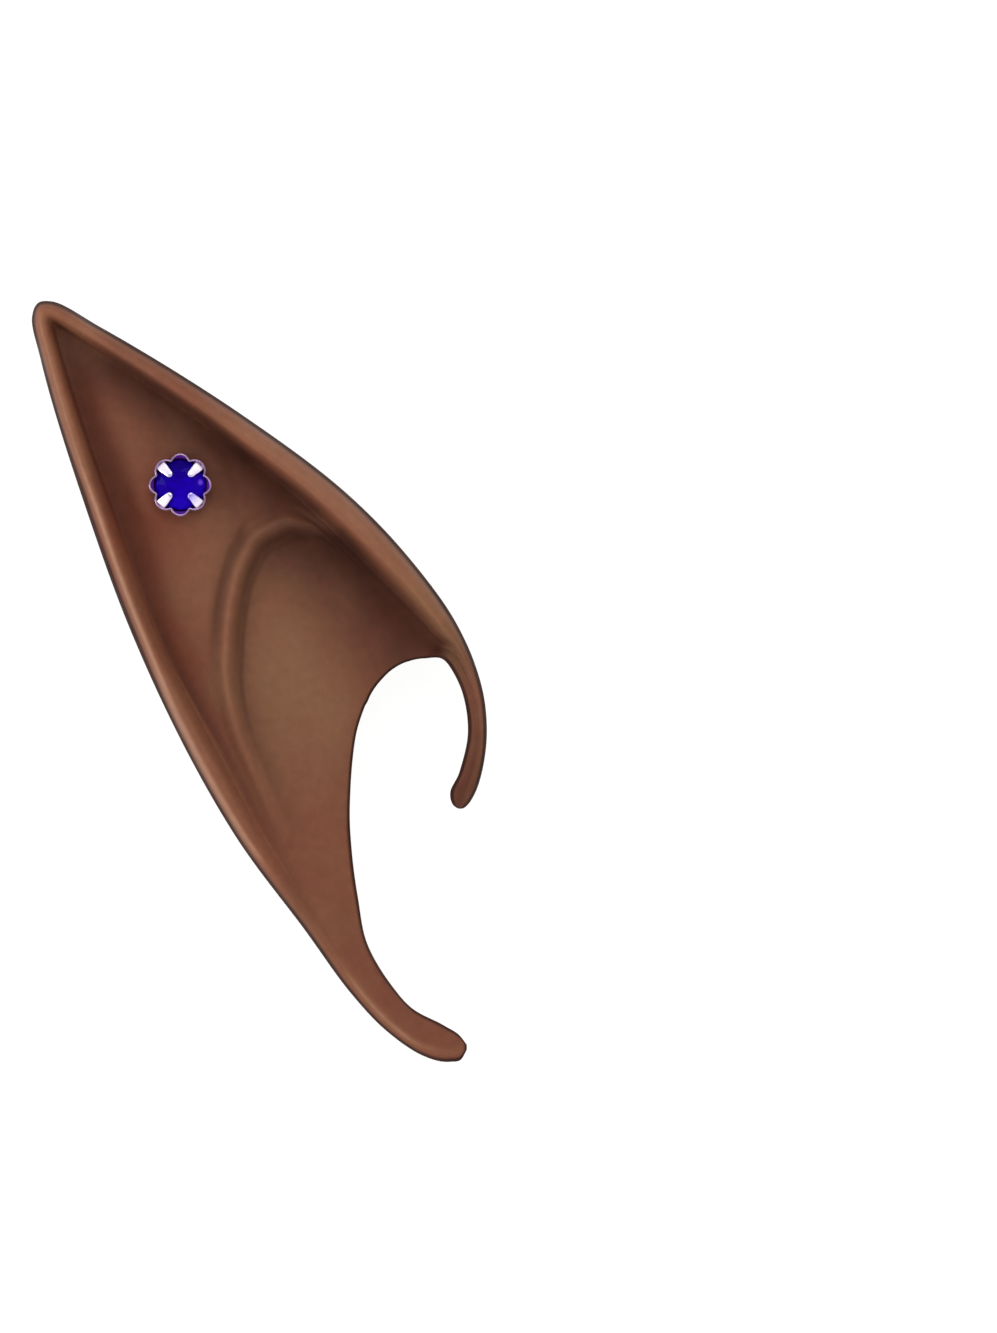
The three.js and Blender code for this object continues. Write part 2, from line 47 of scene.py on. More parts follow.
FOLD_HALF = 3.7  # half the width of the inner fold, with the hollows beside it
BACK_ROUND = 1.4  # the rim's back is this much wider than its front
TIP_STATION = 47  # the section that starts at the ear's point
LAST_STATION = 100  # the section at the tail's end
TIP_LIFT = 4  # the point curls this far up off the surface
LIFT_FROM = 47  # the curl starts this far from the point
SEAM_DEPTH = 0.5  # the seam where the two walls join in the hook and the tail
SEAM_HEIGHT = 0.3
NARROW_SHARE = 0.5  # the most of a section that its rim or its lip may take
FOLD_MARGIN = 0.1  # the fold keeps this share of the floor clear on either side
FOLD_ROOM = 0.6  # the most of the floor beside it that half the fold may take
FOOT_ROOM = 0.4  # the most of the way from groove to fold that the shelf's rise may take
LIP_DROP = 0.45  # the most of the lip's height that its rounding may take
SEAM_ROOM = 0.3  # the most of a section that the seam may take
BALL = (-1, -0.8, -0.5, -0.2, 0, 0.2, 0.5, 0.8, 1)  # places across a ball, as shares of its radius
TINY = 1e-9  # the least that a length is divided by

# Sections run from the hook's end over the point to the tail's end. Each starts at the outer edge and
# ends at the lip, the edge round the opening: station, edge x, edge y, lip x, lip y.
OUTLINE = [
    (0, 31.6, -20.12, 31.15, -20.02),
    (0.5, 32.2, -20.02, 30.55, -19.55),
    (1.1, 32.9, -19.42, 30.2, -18.85),
    (2, 33.6, -18.4, 30.05, -17.8),
    (5, 35.15, -14, 31.55, -14.2),
    (8, 35.85, -8.2, 32.85, -8.2),
    (11, 35.3, -2, 32.05, -2.05),
    (13.5, 33.8, 3.15, 30.2, 1.95),
    (15.5, 32.3, 6.65, 28.75, 3.5),
    (18, 29.75, 11.25, 26.05, 3.55),
    (22, 23, 20.1, 23.4, 3.05),
    (27, 13.7, 29.6, 21.25, 2),
    (34, -3.3, 42.3, 19.1, 0),
    (42, -25, 55.7, 17.5, -2.3),
    (45.5, -32.6, 59.7, 17, -3.4),
    (47, -34.8, 59.4, 16.7, -3.9),
    (48.5, -35.7, 57.1, 16.5, -4.4),
    (51, -34.4, 50.8, 16.1, -5.5),
    (59, -27, 26.4, 15.1, -9.4),
    (64, -21.15, 10.2, 14.64, -13.25),
    (68, -15.74, -2.26, 14.4, -16.8),
    (76, -3.95, -24.1, 14.4, -24.4),
    (83, 7.24, -39.32, 15.5, -33.8),
    (88, 14.45, -49.23, 17.2, -42),
    (92, 20.27, -55.35, 20.8, -48),
    (95, 25.41, -58.88, 24.2, -51.7),
    (98, 30.08, -60, 29.3, -54.4),
    (99.3, 31.9, -59.5, 31.6, -55.9),
    (100, 32.68, -58.1, 32.68, -57.3),
]

# The rim: station, width, then heights of its crest, its outer edge, the groove behind it and the back.
RIM = [
    (0, 0.2, 7.4, 7, 7.4, 6.6),
    (0.5, 0.6, 7.9, 7, 7.9, 6.1),
    (1.1, 1.1, 8.6, 7, 8.6, 5.4),
    (2, 1.4, 8.9, 7, 8.8, 5.2),
    (8, 1.2, 10.3, 8.4, 10.2, 6.4),
    (13.5, 2, 12.8, 9.2, 11.6, 5),
    (18, 3.8, 15.2, 9.5, 9.8, 1.4),
    (22, 4.9, 16.2, 9.5, 9.2, 0),
    (27, 5.9, 16.6, 9.5, 9.2, 0),
    (34, 5.4, 16.2, 9, 9.4, 0),
    (42, 4.1, 14, 7.5, 9.4, 0),
    (47, 3.5, 11.6, 5.5, 9, 0),
    (51, 3.9, 12.2, 6, 9.2, 0),
    (59, 4.2, 13.8, 7, 9.5, 0),
    (64, 3.9, 13.8, 7, 9.5, 0),
    (68, 4.4, 13.6, 7, 9.5, 0),
    (72, 4.5, 13, 6.8, 9.6, 0),
    (76, 3.9, 12, 6.4, 9.6, 0),
    (83, 3, 9.4, 5.2, 9, 0.8),
    (88, 2.4, 7.6, 4.4, 7.5, 1.6),
    (95, 2.4, 6.2, 3.9, 6.1, 1.8),
    (98, 2, 5.6, 3.9, 5.5, 2.2),
    (100, 0.5, 4.6, 3.9, 4.6, 3.2),
]

# The floor: station, heights of the shelf outside the fold and of the fold on it, the fold's distance
# from the lip, then heights of the bowl inside the fold and of the lip.
FLOOR = [
    (0, 7.4, 0, 0.2, 7.4, 7.4),
    (0.5, 7.9, 0, 0.7, 7.9, 7.9),
    (1.1, 8.6, 0, 1.5, 8.6, 8.6),
    (2, 8.8, 0, 1.8, 8.8, 8.8),
    (8, 10.2, 0, 1.5, 10.2, 10.2),
    (13.5, 11.2, 0, 1.8, 10.9, 10.8),
    (18, 9.8, 0, 3, 9.8, 10.4),
    (22, 9.2, 0, 7.5, 9.2, 10.4),
    (27, 9.2, 0, 15, 9.2, 10.5),
    (30, 9.3, 0, 22, 9.3, 10.6),
    (32, 9.6, 0.2, 26.3, 9.4, 10.6),
    (34, 10.2, 0.7, 28.5, 9.4, 10.7),
    (38, 10.7, 1.05, 29.9, 9.6, 10.7),
    (42, 10.8, 1.15, 30.55, 9.8, 10.7),
    (47, 10.8, 1.2, 30, 10, 10.7),
    (51, 10.8, 1.2, 29.2, 10, 10.6),
    (59, 10.7, 1.2, 26.15, 10, 10.3),
    (64, 10.6, 1.1, 23.5, 10, 10.1),
    (68, 10.4, 0.7, 19.7, 10, 9.9),
    (72, 10.2, 0.3, 14.8, 9.9, 9.5),
    (76, 9.9, 0.1, 11, 9.6, 9.1),
    (83, 9, 0, 5, 8.8, 8.2),
    (88, 7.5, 0, 3.5, 7.4, 7.2),
    (95, 6.1, 0, 3, 6, 6),
    (98, 5.5, 0, 2.5, 5.5, 5.5),
    (100, 4.6, 0, 0.5, 4.6, 4.6),
]

# The hollow: station, how open it is, where along the section its back wall ends, the lip's rounding.
HOLLOW = [
    (0, 0, 1, 0.15),
    (0.5, 0, 1, 0.6),
    (1.1, 0, 1, 1.1),
    (2, 0, 1, 1.3),
    (11, 0, 1, 1.1),
    (13.5, 0, 1, 1),
    (18, 1, 0.92, 0.6),
    (27, 1, 0.78, 0.6),
    (47, 1, 0.8, 0.6),
    (68, 1, 0.74, 0.6),
    (78, 1, 0.86, 0.6),
    (87, 0, 1, 1),
    (98, 0, 1, 1.4),
    (100, 0, 1, 0.4),
]

# Where sections are taken: from station, to station, number of steps.
STRETCHES = [
    (0, 2, 18),
    (2, 20, 68),
    (20, 43, 90),
    (43, 51, 76),
    (51, 80, 100),
    (80, 97, 58),
    (97, 100, 22),
]

# How many points each part of a section has.
POINTS = dict(lip=8, bowl=30, fold=30, shelf=22, foot=12, slope=16, crest=16)
POINTS.update(back=12, flat=8, behind=12, ahead=10, ceiling=18)


def lerp(first, second, share):
    """The value a share of the way from first to second."""
    return first + (second - first) * share


def smoothstep(value, low, high):
    """Rises from 0 at low to 1 at high as 3 t squared less 2 t cubed, and is level outside them."""
    t = np.clip((value - low) / np.maximum(high - low, TINY), 0, 1)
    return t * t * (3 - 2 * t)


def eased(at, rows):
    """A value from rows of place and value: level outside them, and changing as smoothstep between two."""
    value = rows[0][1]
    for (start, before), (end, after) in zip(rows, rows[1:]):
        value = value + (after - before) * smoothstep(at, start, end)
    return value


BELL, FLAT_TOP = 2, 4  # powers of a plain bump and of one with a flat top


def ridge(offset, half, power=BELL):
    """A bump of height 1: the exponential of minus a power of the offset as a share of its half width."""
    return np.exp(-(np.abs(offset / half) ** power))


def shares(count):
    """Even shares from 0 up to but not including 1, as one row."""
    return np.arange(count)[None, :] / count


def curves_at(rows, at):
    """Every column of a table at the given stations, one row of values for each station.

    Between two rows a column is a cubic. Its slope at a row is that of the parabola through the row and
    its neighbours, and at the table's ends that of the last straight line.
    """
    table = np.array(rows, dtype=float)
    stations, values = table[:, 0], table[:, 1:]
    step = np.diff(stations)[:, None]
    line = np.diff(values, axis=0) / step
    middle = (line[:-1] * step[1:] + line[1:] * step[:-1]) / (step[1:] + step[:-1])
    slope = np.vstack([line[:1], middle, line[-1:]])
    i = np.clip(np.searchsorted(stations, at) - 1, 0, len(stations) - 2)
    t = ((at - stations[i]) / step[i, 0])[:, None]
    start = slope[i] * step[i]
    end = slope[i + 1] * step[i]
    rise = values[i + 1] - values[i]
    return values[i] + t * (start + t * (3 * rise - 2 * start - end + t * (start + end - 2 * rise)))


def distance_to_run(run, points):
    """Shortest distance from each point to a run of points joined by straight lines.

    A point's nearest place on a line is its projection, kept between the line's ends.
    """
    line = np.diff(run, axis=0)
    offset = points[:, None, :] - run[:-1]
    share = np.clip((offset * line).sum(-1) / (line**2).sum(-1), 0, 1)
    return np.linalg.norm(offset - share[..., None] * line, axis=-1).min(-1)


# The values of every section, as columns with one row for each section.
stretches = [np.linspace(start, end, steps, endpoint=False) for start, end, steps in STRETCHES]
stations = np.concatenate(stretches + [[LAST_STATION]])
plan = curves_at(OUTLINE, stations)
edge_place, lip_place = plan[:, :2], plan[:, 2:]
length = np.linalg.norm(lip_place - edge_place, axis=1, keepdims=True)
width, crest, edge, groove, back = curves_at(RIM, stations).T[..., None]
shelf, fold, fold_from_lip, bowl, lip = curves_at(FLOOR, stations).T[..., None]
open_share, mouth, lip_round = curves_at(HOLLOW, stations).T[..., None]
open_share = np.clip(open_share, 0, 1)
back = np.maximum(back, 0)
width = np.minimum(width, NARROW_SHARE * length)
lip_round = np.minimum(lip_round, NARROW_SHARE * length)
crest_at = CREST_SHARE * width

# Distances of places along each section from the upper and the lower run of the outer edge. A power
# mean of the two gives the way in from the edge, without a crease along the middle of the ear's point.
EDGE_STEPS = 240
LADDER_STEPS = 100
BLEND_POWER = 6
NEAREST = 1e-6  # the least distance that is raised to the power
upper_run = curves_at(OUTLINE, np.linspace(0, TIP_STATION, EDGE_STEPS))[:, :2]
lower_run = curves_at(OUTLINE, np.linspace(TIP_STATION, LAST_STATION, EDGE_STEPS))[:, :2]
ladder = np.linspace(0, 1, LADDER_STEPS + 1)
rungs = edge_place[:, None, :] + (lip_place - edge_place)[:, None, :] * ladder[:, None]
from_upper = np.array([distance_to_run(upper_run, row) for row in rungs])
from_lower = np.array([distance_to_run(lower_run, row) for row in rungs])
near = [np.maximum(distance, NEAREST) ** -BLEND_POWER for distance in (from_upper, from_lower)]
insets = lerp(ladder * length, (near[0] + near[1]) ** (-1 / BLEND_POWER), open_share)


def read_along(known, across):
    """A quantity known on the ladder's rungs, read at distances along the sections by straight lines."""
    place = np.clip(across / length * LADDER_STEPS, 0, LADDER_STEPS)
    i = np.minimum(place.astype(int), LADDER_STEPS - 1)
    before = np.take_along_axis(known, i, 1)
    after = np.take_along_axis(known, i + 1, 1)
    return lerp(before, after, place - i)


def across_at(inward):
    """Distance along each section at which it first lies this far in from the outer edge."""
    reached = insets[:, None, :] >= inward[:, :, None]
    i = reached.argmax(-1)
    j = np.maximum(i - 1, 0)
    before = np.take_along_axis(insets, j, 1)
    after = np.take_along_axis(insets, i, 1)
    share = np.where(i > 0, (inward - before) / np.maximum(after - before, TINY), 0)
    return np.where(reached.any(-1), j + share, LADDER_STEPS) / LADDER_STEPS * length


groove_at = across_at(width)
lip_from = length - lip_round
margin = FOLD_MARGIN * (lip_from - groove_at)
fold_at = np.clip(length - fold_from_lip, groove_at + margin, lip_from - margin)
fold_half = np.minimum(FOLD_HALF, FOLD_ROOM * np.minimum(fold_at - groove_at, lip_from - fold_at))
foot_at = np.minimum(across_at(width + SHELF_RUN), lerp(groove_at, fold_at, FOOT_ROOM))


def rim_height(inward):
    """A quarter of an ellipse from the outer edge up to the crest, then a late S down to the groove."""
    short = np.clip(1 - inward / crest_at, 0, 1)
    outer = lerp(edge, crest, np.sqrt(1 - short**2))
    past = np.clip((inward - crest_at) / (width - crest_at), 0, 1)
    inner = lerp(crest, groove, smoothstep(past**ROLL_POWER, 0, 1))
    return np.where(inward < crest_at, outer, inner)


def front_height(across, fold_share=1):
    """The rim, the shelf rising from its groove, the fold, then the bowl and the lip.

    The fold is a bead with a hollow along each side: with t the distance from its middle as a share of
    its half width, it is (1 - t squared) squared times (1 - 5 t squared) on the bowl's side, and
    (1 - t squared) cubed times (1 - 4 t squared), which is softer, on the shelf's side.
    """
    inward = read_along(insets, across)
    outside = lerp(groove, shelf, smoothstep(inward, width, width + SHELF_RUN))
    inside = lerp(bowl, lip, smoothstep(across, fold_at, lip_from))
    floor = lerp(outside, inside, smoothstep(across, fold_at - fold_half, fold_at + fold_half))
    t = np.clip((across - fold_at) / fold_half, -1, 1)
    bowl_side = (1 - t**2) ** 2 * (1 - 5 * t**2)
    shelf_side = (1 - t**2) ** 3 * (1 - 4 * t**2)
    bead = fold_share * fold * np.where(t > 0, bowl_side, shelf_side)
    return np.where(across < groove_at, rim_height(inward), floor + bead)


def back_height(inward):
    """A quarter of an ellipse from the outer edge down to the back, which is flat from there."""
    short = np.clip(1 - inward / (BACK_ROUND * width), 0, 1)
    return lerp(edge, back, np.sqrt(1 - short**2))


def inner_height(inward, side):
    """The wall's inner face: the outer one taken in by a ball of the wall's thickness.

    Of the heights that the ball's rim reaches from places round the point, the lowest counts under the
    front and the highest over the back.
    """
    around = np.array(BALL)[:, None, None]
    outer = rim_height if side > 0 else back_height
    reached = outer(np.maximum(0, inward + around * WALL)) - side * WALL * np.sqrt(1 - around**2)
    return reached.min(0) if side > 0 else reached.max(0)


# The outer faces from the lip over the rim to the back's own edge, as distances along and heights.
top = front_height(lip_from)
drop = np.minimum(lip_round, LIP_DROP * (top - back))
turn = np.pi / 2 * (1 - shares(POINTS["lip"]))
lip_across = lip_from + lip_round * np.sin(turn)
lip_height = top - drop * (1 - np.cos(turn))
floor_runs = [
    lerp(lip_from, fold_at + fold_half, shares(POINTS["bowl"])),
    lerp(fold_at + fold_half, fold_at - fold_half, shares(POINTS["fold"])),
    lerp(fold_at - fold_half, foot_at, shares(POINTS["shelf"])),
    lerp(foot_at, groove_at, shares(POINTS["foot"])),
]
floor_across = np.hstack(floor_runs)
rim_slope = lerp(width, crest_at, shares(POINTS["slope"]))
rim_crest = crest_at * (1 - np.sin(np.pi / 2 * shares(POINTS["crest"])))
rim_inward = np.hstack([rim_slope, rim_crest])
flat_from = BACK_ROUND * width
back_inward = flat_from * (1 - np.cos(np.pi / 2 * shares(POINTS["back"])))
mouth_at = length * mouth
round_from = mouth_at - lip_round
flat_across = lerp(np.minimum(across_at(flat_from), round_from), round_from, shares(POINTS["flat"]))
turn = np.pi / 2 * np.linspace(0, 1, POINTS["lip"] + 1)[None, :]
back_rise = np.minimum(drop, lerp(drop, 0.5 * WALL, open_share))
back_lip_height = back + back_rise * (1 - np.cos(turn))

# The inner faces from the back's edge into the rim and out to the lip. Where the hollow closes, they
# draw together into a shallow seam in the lip.
wall_at = across_at(np.full_like(width, WALL))
back_flat = across_at(np.maximum(WALL, flat_from))
behind_share = shares(POINTS["behind"])
behind_height = inner_height(lerp(read_along(insets, back_flat), WALL, behind_share), -1)
ahead_inward = lerp(WALL, width, shares(POINTS["ahead"]))
ceiling_across = lerp(groove_at, length, np.linspace(0, 1, POINTS["ceiling"])[None, :])
inner_across = np.hstack(
    [mouth_at, lerp(back_flat, wall_at, behind_share), across_at(ahead_inward), ceiling_across]
)
ceiling_height = front_height(np.minimum(ceiling_across, lip_from), 0) - WALL
inner_heights = np.hstack([back + WALL, behind_height, inner_height(ahead_inward, 1), ceiling_height])
seam_middle = 0.5 * (back + top)
seam_depth = np.minimum(SEAM_DEPTH, SEAM_ROOM * length)
behind_count = POINTS["behind"] + 1
ahead_count = inner_across.shape[1] - behind_count
seam_share = np.hstack([shares(behind_count)[0], np.linspace(1, 0, ahead_count)])
seam_side = np.repeat([-1, 1], [behind_count, ahead_count])
seam_height = 0.5 * SEAM_HEIGHT * seam_depth / SEAM_DEPTH
inner_across = lerp(length - seam_depth * seam_share, inner_across, open_share)
inner_heights = lerp(seam_middle + seam_side * seam_height * (1 - seam_share), inner_heights, open_share)

# One ring of points round every section: its front, its back and the faces inside.
front_across = np.hstack([lip_across, floor_across, across_at(rim_inward)])
front_heights = np.hstack([lip_height, front_height(floor_across), rim_height(rim_inward)])
back_lip_across = round_from + lip_round * np.sin(turn)
back_across = np.hstack([across_at(back_inward), flat_across, back_lip_across])
flat_height = np.broadcast_to(back, flat_across.shape)
back_heights = np.hstack([back_height(back_inward), flat_height, back_lip_height])
loop_across = np.hstack([front_across, back_across, inner_across])
loop_height = np.hstack([front_heights, back_heights, inner_heights])
loop_share = (loop_across / length)[..., None]
loop_place = edge_place[:, None, :] + (lip_place - edge_place)[:, None, :] * loop_share

# The curl of the point, a parabola of the distance to it, and the level seat under the stone.
STONE_X, STONE_Y = -12.3, 30.8
SEAT_FLAT = 5.4  # the latex is flat this far round the stone
SEAT_BLEND = 9
stone_place = np.array([STONE_X, STONE_Y])
tip_place = curves_at(OUTLINE, np.array([TIP_STATION]))[0, :2]


def lift(places):
    """Height of the curl: the square of how near a place is to the point, as a share of its reach."""
    nearness = np.maximum(0, 1 - np.linalg.norm(places - tip_place, axis=-1) / LIFT_FROM)
    return TIP_LIFT * nearness**2


seat_height = curves_at(FLOOR, np.array([TIP_STATION]))[0, 0] + lift(stone_place)
ring_point = np.arange(loop_across.shape[1])
on_floor = ring_point < lip_across.shape[1] + floor_across.shape[1]
on_front = ring_point < front_across.shape[1]
seat_share = 1 - smoothstep(np.linalg.norm(loop_place - stone_place, axis=-1), SEAT_FLAT, SEAT_BLEND)
seat_share = seat_share * on_floor

# Slow waves of a hand-made mould: height in mm, turn per mm along x and along y, start. They come in
# with the distance from the edge and with a section's length.
WAVES = [
    (0.06, 0.27, 0.11, 0.6),
    (0.035, 0.16, -0.42, 2.1),
    (0.02, 0.63, 0.49, 4),
]
WAVES_INWARD = (0, 1.5)
WAVES_LENGTH = (5, 14)


def unevenness(x, y):
    """The sum of the waves, each a sine, in mm."""
    total = np.zeros_like(x)
    for height, along_x, along_y, start in WAVES:
        total = total + height * np.sin(along_x * x + along_y * y + start)
    return total


loop_inward = read_along(insets, loop_across)
loose = on_front * smoothstep(loop_inward, *WAVES_INWARD) * smoothstep(length, *WAVES_LENGTH)
loop_height = loop_height + loose * unevenness(loop_place[..., 0], loop_place[..., 1])
loop_height = lerp(loop_height + lift(loop_place), seat_height, seat_share)

# Distance from the fold's line in plan, above 0 on the bowl's side. The line runs on past the fold's
# modelled end to where it meets the upper rim.
FOLD_END = (11.8, 24.4)
FOLD_STATIONS = (33, 76)
FOLD_EVERY = 3  # one section in this many is enough
fold_line = lip_place + (edge_place - lip_place) * (fold_from_lip / length)
fold_run = fold_line[(stations >= FOLD_STATIONS[0]) & (stations <= FOLD_STATIONS[1])]
fold_run = np.vstack([[FOLD_END], fold_run[::FOLD_EVERY]])
station = stations[:, None]
x, y = loop_place[..., 0], loop_place[..., 1]
in_bowl = np.where(station > FOLD_STATIONS[0], loop_across > length - fold_from_lip, y < FOLD_END[1])
fold_off = np.array([distance_to_run(fold_run, row) for row in loop_place]) * np.where(in_bowl, 1, -1)


def along(rows):
    """A value along the ear, from rows of station and value."""
    return eased(station, rows)


# Painted shade, a darker brown, from 0 to 1: deep under the upper rim and thinning out over the
# floor, and less along the lower rim. It reaches less far where the ear is narrow, towards its point.
# Tables from here on are of station and value, unless their comment says otherwise.
SHADE_LENGTH = (4.2, 7)  # lengths of section between which the rims' painted shade comes in
SHADE_FULL = 4  # how far in from the edge the rims' painted shade is full
UPPER_START = [(20, 0.66), (32, 0.56), (34, 0.56), (38, 0.46), (45, 0.46), (47, 0.56)]  # share of the rim
UPPER_FADE = [(20, 0.46), (30, 0.36)]
UPPER_SHADE = [(2, 0.15), (20, 0.72), (25, 0.72), (65, 0.78)]  # distance from the point, strength
UPPER_REACH = [(13, 11.5), (60, 24.5)]  # distance from the point, distance in from the edge
UPPER_SHOWN = [(18, 0.86), (23, 1), (62, 1), (80, 0)]
LOWER_START = [(54, 0.74), (60, 0.86), (64, 0.86), (70, 1)]  # share of the rim
LOWER_FADE = 0.18
LOWER_SHADE = [(68, 0.5), (79, 0)]
LOWER_REACH = [(57, 10.5), (64, 7)]
from_tip = np.linalg.norm(loop_place - tip_place, axis=-1)
upper_off = read_along(from_upper, loop_across)
lower_off = read_along(from_lower, loop_across)
broad = smoothstep(length, *SHADE_LENGTH)
upper_start = along(UPPER_START)
past_upper = broad * smoothstep(loop_inward / width, upper_start, upper_start + along(UPPER_FADE))
lower_start = along(LOWER_START)
past_lower = broad * smoothstep(loop_inward / width, lower_start, lower_start + LOWER_FADE)
upper_shade = past_upper * eased(from_tip, UPPER_SHADE) * along(UPPER_SHOWN)
upper_shade = upper_shade * (1 - smoothstep(upper_off, SHADE_FULL, eased(from_tip, UPPER_REACH)))
lower_shade = past_lower * along(LOWER_SHADE)
lower_shade = lower_shade * (1 - smoothstep(lower_off, SHADE_FULL, along(LOWER_REACH)))

# The painted shade under the upper rim is thinner on the shelf just above the fold and on the fold's upper
# end.
THIN_SHELF = [(35, 0), (38, 0.2), (40.5, 0.2), (43, 0)]
THIN_INWARD = (4.5, 7)
THIN_TO_FOLD = (-1.5, 1)  # from the fold's line
THIN_END = [(34.5, 0.24), (37, 0)]
THIN_END_AT, THIN_END_HALF = -0.8, 1.4
thin_shelf = along(THIN_SHELF) * smoothstep(upper_off, *THIN_INWARD)
thin_shelf = thin_shelf * (1 - smoothstep(fold_off, *THIN_TO_FOLD))
thin_end = along(THIN_END) * ridge(fold_off - THIN_END_AT, THIN_END_HALF, FLAT_TOP)
upper_shade = upper_shade * (1 - thin_shelf) * (1 - thin_end)

# A dark line of painted shade in the hollow on either side of the fold, placed from the fold's own
# line. The inner one is sharp towards the fold and fades out over the bowl, most widely at its upper end.
LINE_IN = [(34, 0.57), (39, 0.47), (53, 0.47), (60, 0.376), (67, 0.376), (80, 0)]
LINE_IN_AT = [(36, 2.1), (50, 1.8), (58, 1.8), (63, 2.15)]
LINE_IN_SHARP = 0.75
LINE_IN_WIDE = [(36, 6), (50, 1.9)]
LINE_IN_POWER = [(36, 2), (50, 1.3)]
LINE_OUT = [(41, 0), (45, 0.5), (57, 0.5), (67, 0)]
LINE_OUT_AT = -1.75
LINE_OUT_HALF = (1.3, 0.9)  # towards the shelf and towards the fold
in_off = fold_off - along(LINE_IN_AT)
in_half = np.where(in_off < 0, LINE_IN_SHARP, along(LINE_IN_WIDE))
in_power = np.where(in_off < 0, BELL, along(LINE_IN_POWER))
line_in = along(LINE_IN) * ridge(in_off, in_half, in_power)
out_off = fold_off - LINE_OUT_AT
line_out = along(LINE_OUT) * ridge(out_off, np.where(out_off < 0, *LINE_OUT_HALF))
fold_shade = past_upper * (line_in + line_out)

# More painted shade lies in the corner at the hook's root, and the hook is darker towards its end and a
# little at its root. A dark line of painted shade follows the edge, the lip and the ends of hook and
# tail, where the latex turns away, and thins out over the back to a quarter, which also covers the faces
# inside.
CORNER_SHADE = [(14.2, 0), (15.4, 0.65), (16.2, 0.65), (18.4, 0)]
CORNER_START = [(15, 0.68), (18, 0.5)]  # share of the section
CORNER_FADE = 0.27
HOOK_DARKENING = [(0, 0.52), (20, 0)]
HOOK_ROOT_DARKENING = [(11, 0), (14, 0.12), (16.5, 0.12), (19, 0)]
EDGE_LINE = 0.92
EDGE_FADE = (0.3, 0.9)
EDGE_WIDER = [(54, 0), (58, 0.2), (64, 0.2), (69, 0)]
LIP_FADE = (0.2, 0.75)
LIP_WIDER = [(15, 0.2), (20, 0)]
END_LINES = [(0.15, 1), (0.9, 0), (99.5, 0), (99.9, 1)]
BACK_SHADE = 0.25
BACK_FADE = (0.05, 0.9)
corner_start = along(CORNER_START)
corner_shade = smoothstep(loop_across / length, corner_start, corner_start + CORNER_FADE)
corner_shade = corner_shade * along(CORNER_SHADE)
hook_darkening = along(HOOK_DARKENING) + along(HOOK_ROOT_DARKENING)
edge_line = 1 - smoothstep(loop_inward - along(EDGE_WIDER), *EDGE_FADE)
lip_line = 1 - smoothstep(length - loop_across - along(LIP_WIDER), *LIP_FADE)
dark_line = np.maximum(np.maximum(edge_line, lip_line), along(END_LINES))
# All the painted shade together, and no less than the dark line of painted shade along the edges.
unshaded = (1 - upper_shade) * (1 - lower_shade) * (1 - fold_shade) * (1 - hook_darkening) * (1 - corner_shade)
painted_shade = np.maximum(1 - unshaded, EDGE_LINE * dark_line)
back_shade = lerp(EDGE_LINE, BACK_SHADE, smoothstep(loop_inward, *BACK_FADE))
painted_shade = np.where(on_front, painted_shade, back_shade)

# Painted highlight, from 0 up to 1.5, where the latex is also smoother: along the rim, with a pale painted
# sheen in a line on its left run, on the tail, on the fold and near the point.
RIM_HIGHLIGHT = [(18, 0.65), (27, 1), (34, 1), (38, 0.35), (44, 0.35), (48, 1), (75, 1), (80, 0), (84, 0), (89, 1)]
RIM_HIGHLIGHT_AT = [(24, 0.42), (28, 0.35), (33, 0.35), (37, 0.42)]  # share of the rim
RIM_HIGHLIGHT_SHARE, RIM_HIGHLIGHT_MORE = 0.3, 0.2  # half width: a share of the rim, and a length on top
ON_TAIL = [(80, 0), (87, 1)]
TAIL_HIGHLIGHT = [(80, 0), (87, 0.35), (93, 0.35), (98, -0.45)]  # added to the rim's
TAIL_HIGHLIGHT_AT, TAIL_HIGHLIGHT_HALF = 1.65, 0.75
ON_LEFT = [(53, 0), (58, 1), (76, 1), (82, 0)]
SHEEN_AT = [(54, 1.3), (58, 1.7), (64, 1.7), (69, 1.3)]
SHEEN_HALF = 0.6
SHEEN_MORE = 0.5
SLOPE_HIGHLIGHT = [(57, 0), (61, 0.65)]
SLOPE_AT, SLOPE_HALF = 3.0, 0.9
FOLD_HIGHLIGHT = [(36, 0.8), (46, 0.34), (64, 0.34), (76, 0)]
FOLD_HIGHLIGHT_AT, FOLD_HIGHLIGHT_HALF = -0.1, 1.1
FOLD_FADE_X, FOLD_FADE_Y = (7, 13), (17, 21)  # where the fold's painted highlight ends, towards the upper rim
TIP_HIGHLIGHT = 0.9
TIP_HIGHLIGHT_AT, TIP_HIGHLIGHT_HALF = 8.5, 4.5
on_tail = along(ON_TAIL)
highlight_at = lerp(along(RIM_HIGHLIGHT_AT) * width, TAIL_HIGHLIGHT_AT, on_tail)
highlight_half = lerp(RIM_HIGHLIGHT_SHARE * width + RIM_HIGHLIGHT_MORE, TAIL_HIGHLIGHT_HALF, on_tail)
painted_highlight = (along(RIM_HIGHLIGHT) + along(TAIL_HIGHLIGHT)) * ridge(loop_inward - highlight_at, highlight_half)
on_left = along(ON_LEFT)
sheen = on_left * ridge(loop_inward - along(SHEEN_AT), SHEEN_HALF)
slope_highlight = along(SLOPE_HIGHLIGHT) * ridge(loop_inward - SLOPE_AT, SLOPE_HALF)
painted_highlight = lerp(painted_highlight, np.maximum(slope_highlight, sheen), on_left) + SHEEN_MORE * sheen
fold_highlight = along(FOLD_HIGHLIGHT) * (1 - smoothstep(x, *FOLD_FADE_X) * smoothstep(y, *FOLD_FADE_Y))
painted_highlight = np.maximum(painted_highlight, fold_highlight * ridge(fold_off - FOLD_HIGHLIGHT_AT, FOLD_HIGHLIGHT_HALF, FLAT_TOP))
painted_highlight = np.maximum(painted_highlight, TIP_HIGHLIGHT * ridge(from_tip - TIP_HIGHLIGHT_AT, TIP_HIGHLIGHT_HALF)) * on_front

